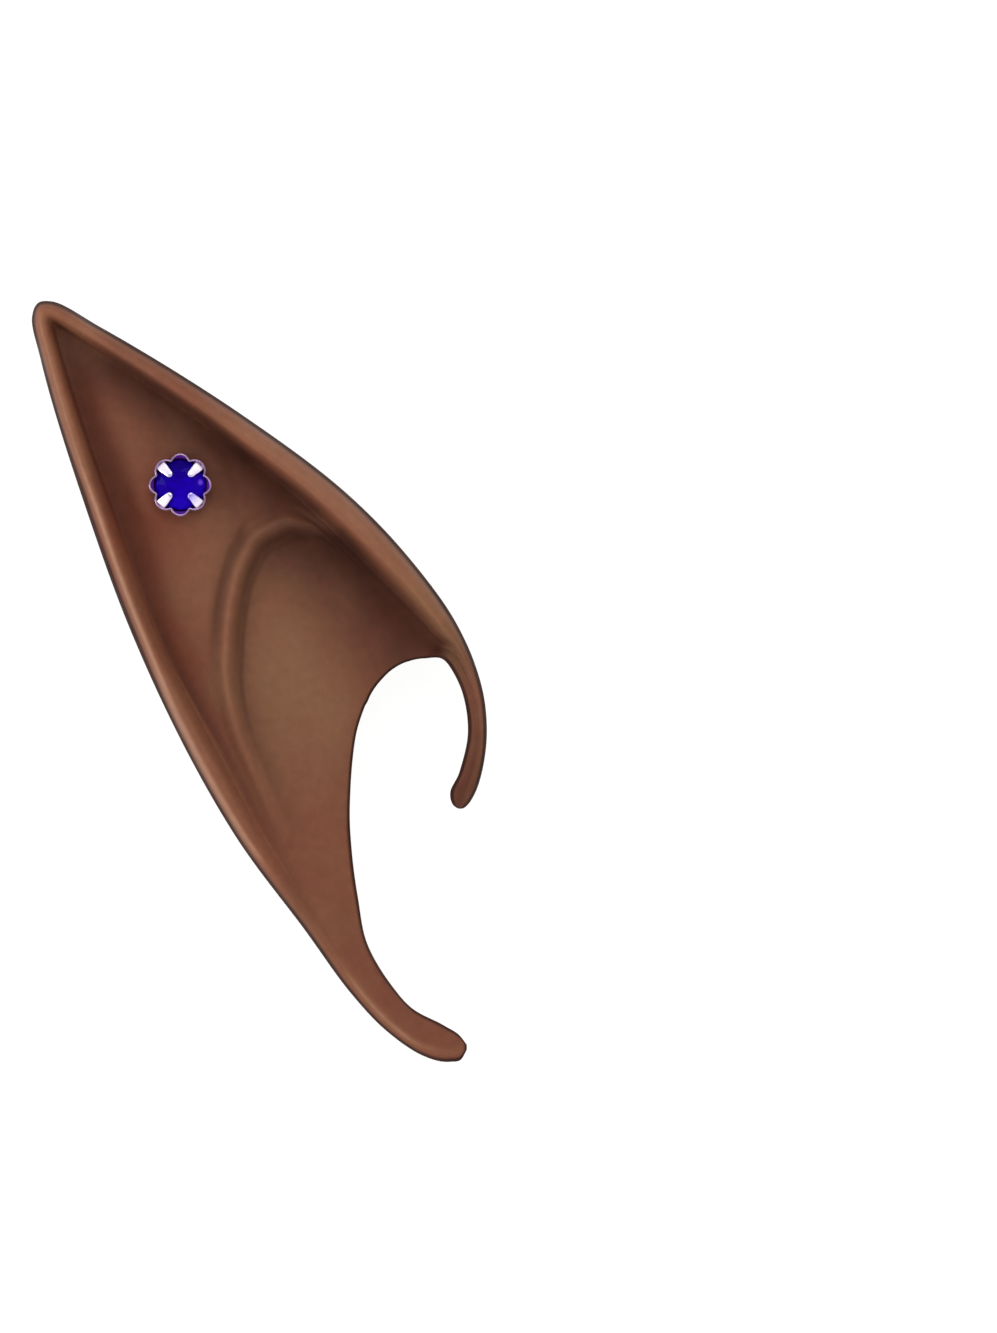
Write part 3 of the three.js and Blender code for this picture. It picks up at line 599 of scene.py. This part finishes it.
# Where the brown is greener, up to 1: on the bowl, on the shelf beside it and towards the right end of
# the upper rim. Below 0 it is redder: on the shelf's left half, in the corner at the hook's root and
# along the lower rim. Each patch has an x, a y, a half width and a strength.
GREEN_BOWL = (4, -1, 14, 1)
GREEN_SHELF = (-8, 13, 9, 0.6)
GREEN_RIM = (27, 13, 12, 1)
RED_SHELF = (-19, 21, 7, 0.5)
RED_CORNER = (27, 6, 4, 0.5)
RED_LOWER = [(64, 0.6), (74, 0)]
RED_LOWER_FADE = (5, 9)


def patch(middle_x, middle_y, half, strength):
    """A round patch of colour: a bump of the distance from its middle."""
    return strength * ridge(np.hypot(x - middle_x, y - middle_y), half)


red_lower = along(RED_LOWER) * (1 - smoothstep(lower_off, *RED_LOWER_FADE))
olive = np.maximum(patch(*GREEN_BOWL), patch(*GREEN_SHELF))
olive = np.maximum(olive, patch(*GREEN_RIM) * (1 - past_upper))
olive = olive - patch(*RED_SHELF) - patch(*RED_CORNER) * past_upper - past_lower * red_lower

ring_size = loop_across.shape[1]
ring_count = len(stations)
ear_points = np.dstack([loop_place, loop_height]).reshape(-1, 3)


def ring_faces(rings, size, rings_close=False, points_close=True):
    """Quads between each ring of points and the next. The rings may close, as a ring's points may."""
    ring = np.arange(rings if rings_close else rings - 1)[:, None]
    point = np.arange(size if points_close else size - 1)[None, :]
    here, there = ring * size, (ring + 1) % rings * size
    after = (point + 1) % size
    quads = np.stack([here + point, here + after, there + after, there + point], -1)
    return quads.reshape(-1, 4)


def end_fans(rings, size):
    """Triangles from the first and the last ring to two middle points that follow all the rings."""
    point = np.arange(size)
    after = (point + 1) % size
    first = np.full(size, rings * size)
    last_ring = (rings - 1) * size
    start = np.stack([first, after, point], -1)
    end = np.stack([first + 1, last_ring + point, last_ring + after], -1)
    return np.vstack([start, end])


def ring_middle(ring):
    """The middle of the box round a ring of points."""
    return 0.5 * (ring.min(0) + ring.max(0))


def add_piece(name, points, faces, material, node):
    """A mesh object from points in mm and faces, smooth, with its material and its place in the frame."""
    mesh = bpy.data.meshes.new(name)
    mesh.from_pydata((points * MM).tolist(), [], faces)
    mesh.shade_smooth()
    mesh.materials.append(material)
    mesh.update()
    piece = bpy.data.objects.new(name, mesh)
    bpy.context.collection.objects.link(piece)
    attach(piece, "root")
    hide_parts(node)
    return piece


def add_attribute(piece, name, values, domain="POINT"):
    """A named number on every point or face of a piece, for its material to read."""
    attribute = piece.data.attributes.new(name, "FLOAT", domain)
    attribute.data.foreach_set("value", np.ravel(values).astype(np.float32))


class Finish:
    """A material's node tree, with short ways to add nodes and join them."""

    def __init__(self, name):
        self.material = bpy.data.materials.new(name)
        self.material.use_nodes = True
        self.tree = self.material.node_tree
        self.shader = self.tree.nodes["Principled BSDF"]
        self.place = self.add("ShaderNodeTexCoord").outputs["Object"]

    def add(self, kind, **settings):
        node = self.tree.nodes.new(kind)
        for name, value in settings.items():
            setattr(node, name, value)
        return node

    def feed(self, socket, value):
        """Joins a node's output to a socket, or sets a plain value on it."""
        if isinstance(value, bpy.types.NodeSocket):
            self.tree.links.new(value, socket)
        else:
            socket.default_value = value

    def set(self, **values):
        """Feeds the shader's sockets, named with underscores for spaces."""
        for name, value in values.items():
            self.feed(self.shader.inputs[name.replace("_", " ")], value)

    def noise(self, size_mm, detail=3.0, roughness=0.55):
        """Noise on Object coordinates whose blotches are about this many millimetres wide."""
        node = self.add("ShaderNodeTexNoise")
        self.feed(node.inputs["Vector"], self.place)
        node.inputs["Scale"].default_value = 1 / (size_mm * MM)
        node.inputs["Detail"].default_value = detail
        node.inputs["Roughness"].default_value = roughness
        return node.outputs["Fac"]

    def attribute(self, name):
        return self.add("ShaderNodeAttribute", attribute_name=name).outputs["Fac"]

    def ranged(self, value, source, target):
        """A value carried from one range to another, and held inside it."""
        node = self.add("ShaderNodeMapRange", clamp=True)
        for name, number in zip(("From Min", "From Max", "To Min", "To Max"), (*source, *target)):
            node.inputs[name].default_value = number
        self.feed(node.inputs["Value"], value)
        return node.outputs["Result"]

    def math(self, first, second, operation="ADD"):
        node = self.add("ShaderNodeMath", operation=operation)
        self.feed(node.inputs[0], first)
        self.feed(node.inputs[1], second)
        return node.outputs[0]

    def mix(self, share, first, second, blend="MIX"):
        """A colour between two, by a share."""
        node = self.add("ShaderNodeMix", data_type="RGBA", blend_type=blend)
        sockets = {socket.identifier: socket for socket in node.inputs}
        self.feed(sockets["Factor_Float"], share)
        self.feed(sockets["A_Color"], first)
        self.feed(sockets["B_Color"], second)
        return next(socket for socket in node.outputs if socket.identifier == "Result_Color")

    def bump(self, height, depth_mm, strength=1.0, under=None):
        """A bump of this depth from a height between 0 and 1, on top of another bump if there is one."""
        node = self.add("ShaderNodeBump")
        node.inputs["Strength"].default_value = strength
        node.inputs["Distance"].default_value = depth_mm * MM
        self.feed(node.inputs["Height"], height)
        if under is not None:
            self.feed(node.inputs["Normal"], under)
        return node.outputs["Normal"]


# Latex: brown with slow patches of redder and greener brown, lighter with painted highlight and pale painted
# sheen, and dark with painted shade, with fine pores and a satin skin that is matt in the hollows.
DEEP_RED = (0.148, 0.040, 0.020, 1)
RED_BROWN = (0.150, 0.049, 0.0272, 1)
OLIVE_BROWN = (0.162, 0.0745, 0.0377, 1)
HIGHLIGHT_BROWN = (0.225, 0.093, 0.048, 1)
SHEEN_BROWN = (0.36, 0.21, 0.145, 1)
SHADE_BROWN = (0.020, 0.0045, 0.0024, 1)
SHARE = (0, 1)
NOISE_SPAN = (0.3, 0.7)  # most of a noise lies between these
PATCH_SPREAD = (-0.3, 0.4)
RED_SPAN = (-0.5, 0)  # from the deepest red to plain brown
HIGHLIGHT_SHARE = (0, 0.75)
SHEEN_SPAN = (0.9, 1.5)  # how strong the painted highlight is where the pale painted sheen comes in
SHEEN_SHARE = (0, 0.4)
CLOUD_SPREAD = (0.92, 1.08)
SPECKLE_SPREAD = (0.94, 1.06)
SATIN = (0.66, 0.38)  # roughness where there is no painted highlight and where it is full
SATIN_SPREAD = (-0.05, 0.05)
MATT_SPAN = (0.5, 0.95)  # how strong the painted shade is where the latex turns matt
MATT_MORE = (0, 0.25)
latex = Finish("brown_latex")
# The ear's points carry painted highlight and painted shade.
highlighted = latex.attribute("painted_highlight")
shaded = latex.attribute("painted_shade")
patches = latex.ranged(latex.noise(size_mm=14), NOISE_SPAN, PATCH_SPREAD)
patches = latex.math(latex.attribute("olive"), patches)
brown = latex.mix(latex.ranged(patches, RED_SPAN, SHARE), DEEP_RED, RED_BROWN)
brown = latex.mix(latex.ranged(patches, SHARE, SHARE), brown, OLIVE_BROWN)
# Painted highlight in a lighter brown, and a pale painted sheen where it is strongest.
brown = latex.mix(latex.ranged(highlighted, SHARE, HIGHLIGHT_SHARE), brown, HIGHLIGHT_BROWN)
brown = latex.mix(latex.ranged(highlighted, SHEEN_SPAN, SHEEN_SHARE), brown, SHEEN_BROWN)
cloud = latex.ranged(latex.noise(size_mm=5), NOISE_SPAN, CLOUD_SPREAD)
# Painted shade in a darker brown, broken up by a slow noise.
brown = latex.mix(latex.math(shaded, cloud, "MULTIPLY"), brown, SHADE_BROWN)
speckle = latex.ranged(latex.noise(size_mm=1.4, detail=2), NOISE_SPAN, SPECKLE_SPREAD)
speckled = latex.add("ShaderNodeVectorMath", operation="SCALE")
latex.feed(speckled.inputs[0], brown)
latex.feed(speckled.inputs["Scale"], speckle)
slow_dents = latex.bump(latex.noise(size_mm=6, detail=2), depth_mm=0.08)
pores = latex.bump(latex.noise(size_mm=0.45, detail=2), depth_mm=0.01, under=slow_dents)
satin = latex.ranged(latex.noise(size_mm=3), NOISE_SPAN, SATIN_SPREAD)
satin = latex.math(latex.ranged(highlighted, SHARE, SATIN), satin)
satin = latex.math(satin, latex.ranged(shaded, MATT_SPAN, MATT_MORE))
latex.set(
    Base_Color=speckled.outputs[0],
    Roughness=satin,
    Specular_IOR_Level=0.13,
    Normal=pores,
)

ear_faces = ring_faces(ring_count, ring_size).tolist() + end_fans(ring_count, ring_size).tolist()
ear_ends = np.vstack([ring_middle(ear_points[:ring_size]), ring_middle(ear_points[-ring_size:])])
ear_points = np.vstack([ear_points, ear_ends])
ear = add_piece("elf_ear", ear_points, ear_faces, latex.material, "ear_shell")
# Painted shade, painted highlight and the colour patches on every point.
add_attribute(ear, "painted_shade", np.append(painted_shade, [EDGE_LINE, EDGE_LINE]))
add_attribute(ear, "painted_highlight", np.append(painted_highlight, [0, 0]))
add_attribute(ear, "olive", np.append(olive, [0, 0]))

# The stone's setting
# A cup stamped from thin silver-plated metal, with a scalloped edge that is rolled to a wire and four
# claws that rise through it and are pressed down over the stone. It is glued to the latex.
SHEET = 0.3  # thickness of the metal
GLUE_GAP = 0.3  # between the latex and the setting
LOBES = 8
CLAWS = 4
setting_base = np.array([STONE_X, STONE_Y, seat_height + GLUE_GAP])

# The cup's cut edge from the middle of its underside, out, up to the wire and back along its inside to
# the middle: radius at the necks, radius at the lobes, height.
CUP_PROFILE = [
    (0.02, 0.02, -0.22),
    (3.9, 4.3, -0.22),
    (4.1, 4.65, -0.1),
    (4.2, 4.8, 0.2),
    (4.2, 4.86, 1.2),
    (4.12, 4.88, 2.2),
    (4.08, 4.84, 2.5),
    (4, 4.76, 2.62),
    (3.97, 4.6, 2.45),
    (4.1, 4.2, 2.2),
    (4.1, 4.16, 1.95),
    (4.1, 4.5, 1.6),
    (4.05, 4.5, 0.5),
    (3.8, 4.2, 0.3),
    (0.02, 0.02, 0.3),
]
WIRE_HALF = 0.2
WIRE_NECK = 4.0
WIRE_LOBE = 4.78
WIRE_LEVEL = 2.6
CUP_STEPS = 240
TURNED_OVER = [0, 3, 2, 1]  # the corners of a quad that faces the other way
WIRE_SIDES = 12
NECK_SOFT = 0.2  # above 0 the necks between the lobes are rounded
LOBE_POWER = 0.75  # below 1 the lobes are blunter
LOBE_SPREAD = -0.02  # below 0 the lobes between the claws are narrower, in radians


def scallop(angle):
    """From 0 at the necks to 1 at the lobes: the size of a cosine that turns once for every two lobes,
    with its corners rounded and raised to a power. Shifting the angle makes every second lobe wider."""
    turns = LOBES / 2
    shifted = angle - LOBE_SPREAD * np.sin(turns * angle)
    size = np.sqrt(np.cos(turns * shifted) ** 2 + NECK_SOFT**2)
    return ((size - NECK_SOFT) / (np.sqrt(1 + NECK_SOFT**2) - NECK_SOFT)) ** LOBE_POWER


def scalloped_cup(profile, steps):
    """A profile carried round an axis, its radius between that of the necks and that of the lobes."""
    angle = np.linspace(0, 2 * np.pi, steps, endpoint=False)[:, None]
    radius = lerp(profile[:, 0], profile[:, 1], scallop(angle))
    height = np.broadcast_to(profile[:, 2], radius.shape)
    return np.dstack([radius * np.cos(angle), radius * np.sin(angle), height])


def scalloped_wire(steps, sides):
    """A round wire along the scalloped edge: circles that stand square to its closed path."""
    angle = np.linspace(0, 2 * np.pi, steps, endpoint=False)
    radius = lerp(WIRE_NECK, WIRE_LOBE, scallop(angle))
    path = np.stack([radius * np.cos(angle), radius * np.sin(angle)], -1)
    ahead = np.roll(path, -1, 0) - np.roll(path, 1, 0)
    out = np.stack([ahead[:, 1], -ahead[:, 0]], -1) / np.linalg.norm(ahead, axis=1, keepdims=True)
    around = np.linspace(0, 2 * np.pi, sides, endpoint=False)
    places = path[:, None, :] + WIRE_HALF * np.cos(around)[:, None] * out[:, None, :]
    heights = np.broadcast_to(WIRE_LEVEL + WIRE_HALF * np.sin(around), places.shape[:2])
    return np.dstack([places, heights])


cup_points = scalloped_cup(np.array(CUP_PROFILE), CUP_STEPS).reshape(-1, 3)
cup_faces = ring_faces(CUP_STEPS, len(CUP_PROFILE), True, False)[:, TURNED_OVER]
wire_points = scalloped_wire(CUP_STEPS, WIRE_SIDES).reshape(-1, 3)
wire_faces = ring_faces(CUP_STEPS, WIRE_SIDES, True)[:, TURNED_OVER]

# A claw's middle line from inside the wall up, over its shoulder and along the crown: step, distance
# from the stone's axis, height, width, thickness.
CLAW = [
    (0, 4.3, 1, 1.55, 0.3),
    (1, 4.4, 1.9, 1.58, 0.34),
    (2, 4.36, 2.6, 1.62, 0.4),
    (3, 4.02, 2.96, 1.6, 0.44),
    (4, 3.3, 3.34, 1.4, 0.44),
    (5, 2.45, 3.8, 1.1, 0.42),
    (6, 1.9, 3.92, 0.9, 0.36),
]
CLAW_STEPS = 60
CLAW_SIDES = 20
CLAW_SQUARE = 0.7  # below 1 the cut across a claw is squarer than an ellipse
CLAW_CAP = 0.16  # the share of its length over which a claw's tip is rounded
CLAW_END = 0.02  # the share of its size that a claw's last cut keeps


def squarer(wave):
    """A cosine or a sine raised to a power, with its sign kept."""
    return np.sign(wave) * np.abs(wave) ** CLAW_SQUARE


def claw_skin():
    """One claw along +X: rounded cuts across a bent strip, drawn in to a round end at its tip.

    A cut's points are the signed powers of a cosine across its width and of a sine through its
    thickness. The tip's cuts shrink as a quarter of a circle.
    """
    last = CLAW[-1][0]
    steps = np.linspace(0, last, CLAW_STEPS)
    out, up, wide, thick = curves_at(CLAW, steps).T
    along_out, along_up = np.gradient(out), np.gradient(up)
    size = np.hypot(along_out, along_up)
    along_out, along_up = along_out / size, along_up / size
    left = np.clip((last - steps) / (CLAW_CAP * last), 0, 1)
    ending = np.sqrt(1 - (1 - left) ** 2) + CLAW_END
    angle = np.linspace(0, 2 * np.pi, CLAW_SIDES, endpoint=False)[None, :]
    side = squarer(np.cos(angle)) * 0.5 * (wide * ending)[:, None]
    rise = squarer(np.sin(angle)) * 0.5 * (thick * ending)[:, None]
    x = out[:, None] + rise * along_up[:, None]
    z = up[:, None] - rise * along_out[:, None]
    return np.dstack([x, side, z]).reshape(-1, 3)


def turned(points, angle):
    """Points turned about the upright axis."""
    c, s = np.cos(angle), np.sin(angle)
    return points @ np.array([[c, s, 0], [-s, c, 0], [0, 0, 1]])


claw = claw_skin()
claw = np.vstack([claw, ring_middle(claw[:CLAW_SIDES]), ring_middle(claw[-CLAW_SIDES:])])
claw_faces = ring_faces(CLAW_STEPS, CLAW_SIDES).tolist() + end_fans(CLAW_STEPS, CLAW_SIDES).tolist()
setting_points = [cup_points, wire_points]
setting_faces = cup_faces.tolist() + (wire_faces + len(cup_points)).tolist()
for i in range(CLAWS):
    start = sum(len(points) for points in setting_points)
    setting_points.append(turned(claw, np.pi / CLAWS + i * 2 * np.pi / CLAWS))
    setting_faces += [[start + corner for corner in face] for face in claw_faces]

# Silver plate: bright on the claws, with a painted reflection of the stone elsewhere: darker and lilac on
# the wire, and dark violet and not metallic inside the cup.
BRIGHT_SILVER = (0.90, 0.84, 0.94, 1)
HAZY_SILVER = (0.82, 0.74, 0.88, 1)
CLAW_VIOLET_REFLECTION = (0.42, 0.36, 0.95, 1)
LILAC_REFLECTION = (0.31, 0.20, 0.35, 1)
INNER_VIOLET_REFLECTION = (0.11, 0.014, 0.30, 1)
CUP_INSIDE = 8  # the first row of the cup's profile that lies inside it
WIRE_REFLECTION, INSIDE_REFLECTION = 0.5, 1.0
TO_WIRE = (0, WIRE_REFLECTION)
TO_INSIDE = (WIRE_REFLECTION, INSIDE_REFLECTION)
PLATE_SPAN = (0.35, 0.65)
PLATE_ROUGHNESS = (0.26, 0.36)
cup_reflection = np.where(np.arange(len(CUP_PROFILE)) < CUP_INSIDE, WIRE_REFLECTION, INSIDE_REFLECTION)
stone_reflection = [np.tile(cup_reflection, CUP_STEPS), np.full(len(wire_points), WIRE_REFLECTION), np.zeros(CLAWS * len(claw))]
silver = Finish("lilac_silver")
haze = silver.noise(size_mm=0.6)
# How much painted reflection of the stone each point carries.
reflection_share = silver.attribute("stone_reflection")
plate = silver.ranged(silver.noise(size_mm=1.5, detail=2), PLATE_SPAN, SHARE)
plate = silver.mix(plate, HAZY_SILVER, BRIGHT_SILVER)
plate = silver.mix(silver.attribute("painted_reflection"), plate, CLAW_VIOLET_REFLECTION)
plate = silver.mix(silver.ranged(reflection_share, TO_WIRE, SHARE), plate, LILAC_REFLECTION)
plate = silver.mix(silver.ranged(reflection_share, TO_INSIDE, SHARE), plate, INNER_VIOLET_REFLECTION)
silver.set(
    Base_Color=plate,
    Metallic=silver.ranged(reflection_share, TO_INSIDE, (1, 0)),
    Roughness=silver.ranged(haze, NOISE_SPAN, PLATE_ROUGHNESS),
    Normal=silver.bump(haze, depth_mm=0.01, strength=0.5),
)
setting_points = np.vstack(setting_points)
placed = setting_points + setting_base
setting = add_piece("claw_setting", placed, setting_faces, silver.material, "stone_setting")
add_attribute(setting, "stone_reflection", np.concatenate(stone_reflection))

# A painted reflection of the stone's violet lies on the claws towards their tips, the lower right one the
# most.
CLAW_REFLECTION = 0.35
CLAW_REFLECTION_FADE = (1.9, 3.3)  # from the stone's axis
LOWER_RIGHT = (1.0, 1.3)  # cosine less sine of the angle round the axis
LOWER_RIGHT_FADE = (2.2, 4.2)
LEAST_RADIUS = 0.1
setting_x, setting_y = setting_points[:, :2].T
from_axis = np.hypot(setting_x, setting_y)
lower_right = smoothstep((setting_x - setting_y) / np.maximum(from_axis, LEAST_RADIUS), *LOWER_RIGHT)
claw_reflection = CLAW_REFLECTION * (1 - smoothstep(from_axis, *CLAW_REFLECTION_FADE))
painted_reflection = lerp(claw_reflection, 1 - smoothstep(from_axis, *LOWER_RIGHT_FADE), lower_right)
add_attribute(setting, "painted_reflection", painted_reflection)

# The stone
# A round brilliant of royal blue glass with a foil behind it, cut with a table of eight sides, star,
# kite and girdle facets, and a plain pavilion. The claws hold it in the cup.
FACETS = 8
STONE_RADIUS = 3.95
TABLE_RADIUS = 2.2
FOOT_RADIUS = 1.2
CROWN = 1.2  # heights of the stone's upper part, its upright edge and its lower part
GIRDLE = 0.3
PAVILION = 1.5
STONE_GAP = 0.15  # between the stone and the metal
STAR_OUT = 0.55  # where the crown's inner corners lie between the table and the girdle
STAR_UP = 0.62  # and how high they lie on the crown
HEART_RADIUS = 1.0  # where the pavilion's facets meet as they are seen through the table


def ring_of(count, radius, height, turn_share=0.0):
    """Evenly spaced points on a level circle, turned by a share of their spacing."""
    angle = (np.arange(count) + turn_share) / count * 2 * np.pi
    return np.stack([radius * np.cos(angle), radius * np.sin(angle), np.full(count, height)], -1)


girdle_top = PAVILION + GIRDLE
table_level = girdle_top + CROWN
stone_rings = [
    ring_of(1, 0, table_level),
    ring_of(FACETS, HEART_RADIUS, table_level, 0.5),
    ring_of(FACETS, TABLE_RADIUS, table_level),
    ring_of(FACETS, lerp(TABLE_RADIUS, STONE_RADIUS, STAR_OUT), girdle_top + STAR_UP * CROWN, 0.5),
    ring_of(2 * FACETS, STONE_RADIUS, girdle_top),
    ring_of(2 * FACETS, STONE_RADIUS, PAVILION),
    ring_of(FACETS, FOOT_RADIUS, 0),
]
starts = np.cumsum([0] + [len(ring) for ring in stone_rings])
i = np.arange(FACETS)
after = (i + 1) % FACETS
middle, heart, table, star, girdle, lower, foot = starts[:-1]
odd, even, even_after = 2 * i + 1, 2 * i, 2 * after
facets = [
    [np.full(FACETS, middle), heart + i, heart + after],
    [heart + i, table + after, heart + after],
    [heart + i, table + i, table + after],
    [table + i, star + i, table + after],
    [table + after, star + i, girdle + even_after, star + after],
    [star + i, girdle + even, girdle + odd],
    [star + i, girdle + odd, girdle + even_after],
    [girdle + even, lower + even, lower + odd, girdle + odd],
    [girdle + odd, lower + odd, lower + even_after, girdle + even_after],
    [lower + even, foot + i, lower + odd],
    [lower + odd, foot + i, foot + after, lower + even_after],
]
stone_faces = [face for corners in facets for face in np.stack(corners, -1).tolist()]
stone_faces.append((foot + i[::-1]).tolist())
stone_base = setting_base + [0, 0, SHEET + STONE_GAP]

# Blue glass with painted light: each facet is painted from near black to royal blue, lighter towards
# the lower right and changing from facet to facet, and a painted violet glint lies near the girdle.
NIGHT_BLUE = (0.005, 0.0, 0.12, 1)
ROYAL_BLUE = (0.012, 0.0, 0.37, 1)
GLINT_VIOLET = (0.16, 0.06, 0.70, 1)
GLINT_PLACE = (3.15, 0.4, 2.3)  # from the stone's foot, in mm
GLINT_FADE = (0.0001, 0.0006)  # from the glint's middle, in metres
GLINT_SHARE = (0.85, 0)
FACET_LIGHT_SPREAD = (-0.12, 0.12)
BLUE_SPAN = (0, 0.8)
GLASS_ROUGHNESS = (0.05, 0.10)
FACET_LIGHT = 0.45
FACET_LIGHT_ALONG_X, FACET_LIGHT_ALONG_Y = 0.06, -0.10  # change of the painted facet light for each mm
FACET_CHANGE, FACET_TURN, FACET_START = 0.10, 2.4, 0.9  # a sine that differs from facet to facet
glass = Finish("blue_glass")
facet_light = glass.ranged(glass.noise(size_mm=1.2, detail=2), NOISE_SPAN, FACET_LIGHT_SPREAD)
facet_light = glass.math(glass.attribute("facet_light"), facet_light)
blue = glass.mix(glass.ranged(facet_light, BLUE_SPAN, SHARE), NIGHT_BLUE, ROYAL_BLUE)
# The painted glint: a spot of violet near the girdle.
glint = glass.add("ShaderNodeVectorMath", operation="DISTANCE")
glass.feed(glint.inputs[0], glass.place)
glass.feed(glint.inputs[1], tuple((stone_base + GLINT_PLACE) * MM))
blue = glass.mix(glass.ranged(glint.outputs["Value"], GLINT_FADE, GLINT_SHARE), blue, GLINT_VIOLET)
glass.set(
    Base_Color=blue,
    Roughness=glass.ranged(glass.noise(size_mm=0.8, detail=2), NOISE_SPAN, GLASS_ROUGHNESS),
    Specular_IOR_Level=0.02,
)
stone_points = np.vstack(stone_rings)
placed = stone_points + stone_base
stone = add_piece("blue_stone", placed, stone_faces, glass.material, "stone")
stone.data.shade_flat()
facet_middle = np.array([stone_points[face].mean(0) for face in stone_faces])
# Painted light on each facet.
painted_facet_light = FACET_LIGHT + FACET_LIGHT_ALONG_Y * facet_middle[:, 1] + FACET_LIGHT_ALONG_X * facet_middle[:, 0]
painted_facet_light = painted_facet_light + FACET_CHANGE * np.sin(FACET_TURN * np.arange(len(stone_faces)) + FACET_START)
add_attribute(stone, "facet_light", painted_facet_light, "FACE")

# The stage
# A plain white table top that glows, a wide key light beyond the ear's upper rim, another on its left, and
# a pale sky. The camera looks straight down with the ear's length upright.
FLOOR_HALF = 4.0
FLOOR_LEVEL = -0.0003
DARK_CARD = (0.11, 0.11, 0.109, 1)
LIGHT_CARD = (0.13, 0.13, 0.129, 1)
floor_mesh = bpy.data.meshes.new("table_top")
corners = [(-1, -1), (1, -1), (1, 1), (-1, 1)]
floor_points = [(FLOOR_HALF * side, FLOOR_HALF * end, FLOOR_LEVEL) for side, end in corners]
floor_mesh.from_pydata(floor_points, [], [(0, 1, 2, 3)])
white = Finish("white_card")
white.set(
    Base_Color=white.mix(white.noise(size_mm=40, detail=2), DARK_CARD, LIGHT_CARD),
    Roughness=0.9,
    Specular_IOR_Level=0.0,
    Emission_Color=(1.0, 1.0, 0.99, 1),
    Emission_Strength=0.94,
)
floor_mesh.materials.append(white.material)
table_top = bpy.data.objects.new("table_top", floor_mesh)
bpy.context.collection.objects.link(table_top)


def add_light(name, place, size, watts):
    """A square lamp that faces the ear from a place in metres."""
    lamp = bpy.data.lights.new(name, "AREA")
    lamp.size = size
    lamp.energy = watts
    light = bpy.data.objects.new(name, lamp)
    light.location = place
    light.rotation_euler = light.location.to_track_quat("Z", "Y").to_euler()
    light.visible_camera = False
    bpy.context.collection.objects.link(light)


add_light("key", place=(0.04, 0.34, 0.56), size=0.36, watts=1.5)
add_light("left_fill", place=(-0.52, -0.12, 0.26), size=0.32, watts=1.8)

# The sky is bright at the sides, where the claws and the rim mirror it, and dim overhead.
SKY = [(0.0, 0.75), (0.25, 1.1), (0.65, 1.1), (0.93, 0.45)]  # sine of the elevation, brightness
sky = bpy.data.worlds.new("pale_sky")
sky.use_nodes = True
sky_nodes = sky.node_tree.nodes
direction = sky_nodes.new("ShaderNodeTexCoord")
axes = sky_nodes.new("ShaderNodeSeparateXYZ")
ramp = sky_nodes.new("ShaderNodeValToRGB")
steps = ramp.color_ramp.elements
while len(steps) < len(SKY):
    steps.new(0.5)
for step, (position, brightness) in zip(steps, SKY):
    step.position = position
    step.color = (brightness, brightness, brightness, 1)
sky.node_tree.links.new(direction.outputs["Generated"], axes.inputs["Vector"])
sky.node_tree.links.new(axes.outputs["Z"], ramp.inputs["Fac"])
sky.node_tree.links.new(ramp.outputs["Color"], sky_nodes["Background"].inputs["Strength"])
sky_nodes["Background"].inputs["Color"].default_value = (1.0, 0.99, 0.98, 1)
bpy.context.scene.world = sky
bpy.context.scene.view_settings.view_transform = "Standard"

IMAGE_HEIGHT = 1333
PIXEL = 0.15727  # one pixel of the photograph in mm at the ear
FRAME_X, FRAME_Y = 37.67, 2.28  # what lies at the middle of the photograph
SHARP_LEVEL = 9.0  # the height at which the photograph's scale holds
LENS = 500.0
SENSOR = 36.0
camera_data = bpy.data.cameras.new("camera")
camera_data.lens = LENS
camera_data.sensor_width = SENSOR
distance = LENS / SENSOR * IMAGE_HEIGHT * PIXEL
camera = bpy.data.objects.new("camera", camera_data)
camera.location = (FRAME_X * MM, FRAME_Y * MM, (SHARP_LEVEL + distance) * MM)
bpy.context.collection.objects.link(camera)
bpy.context.scene.camera = camera
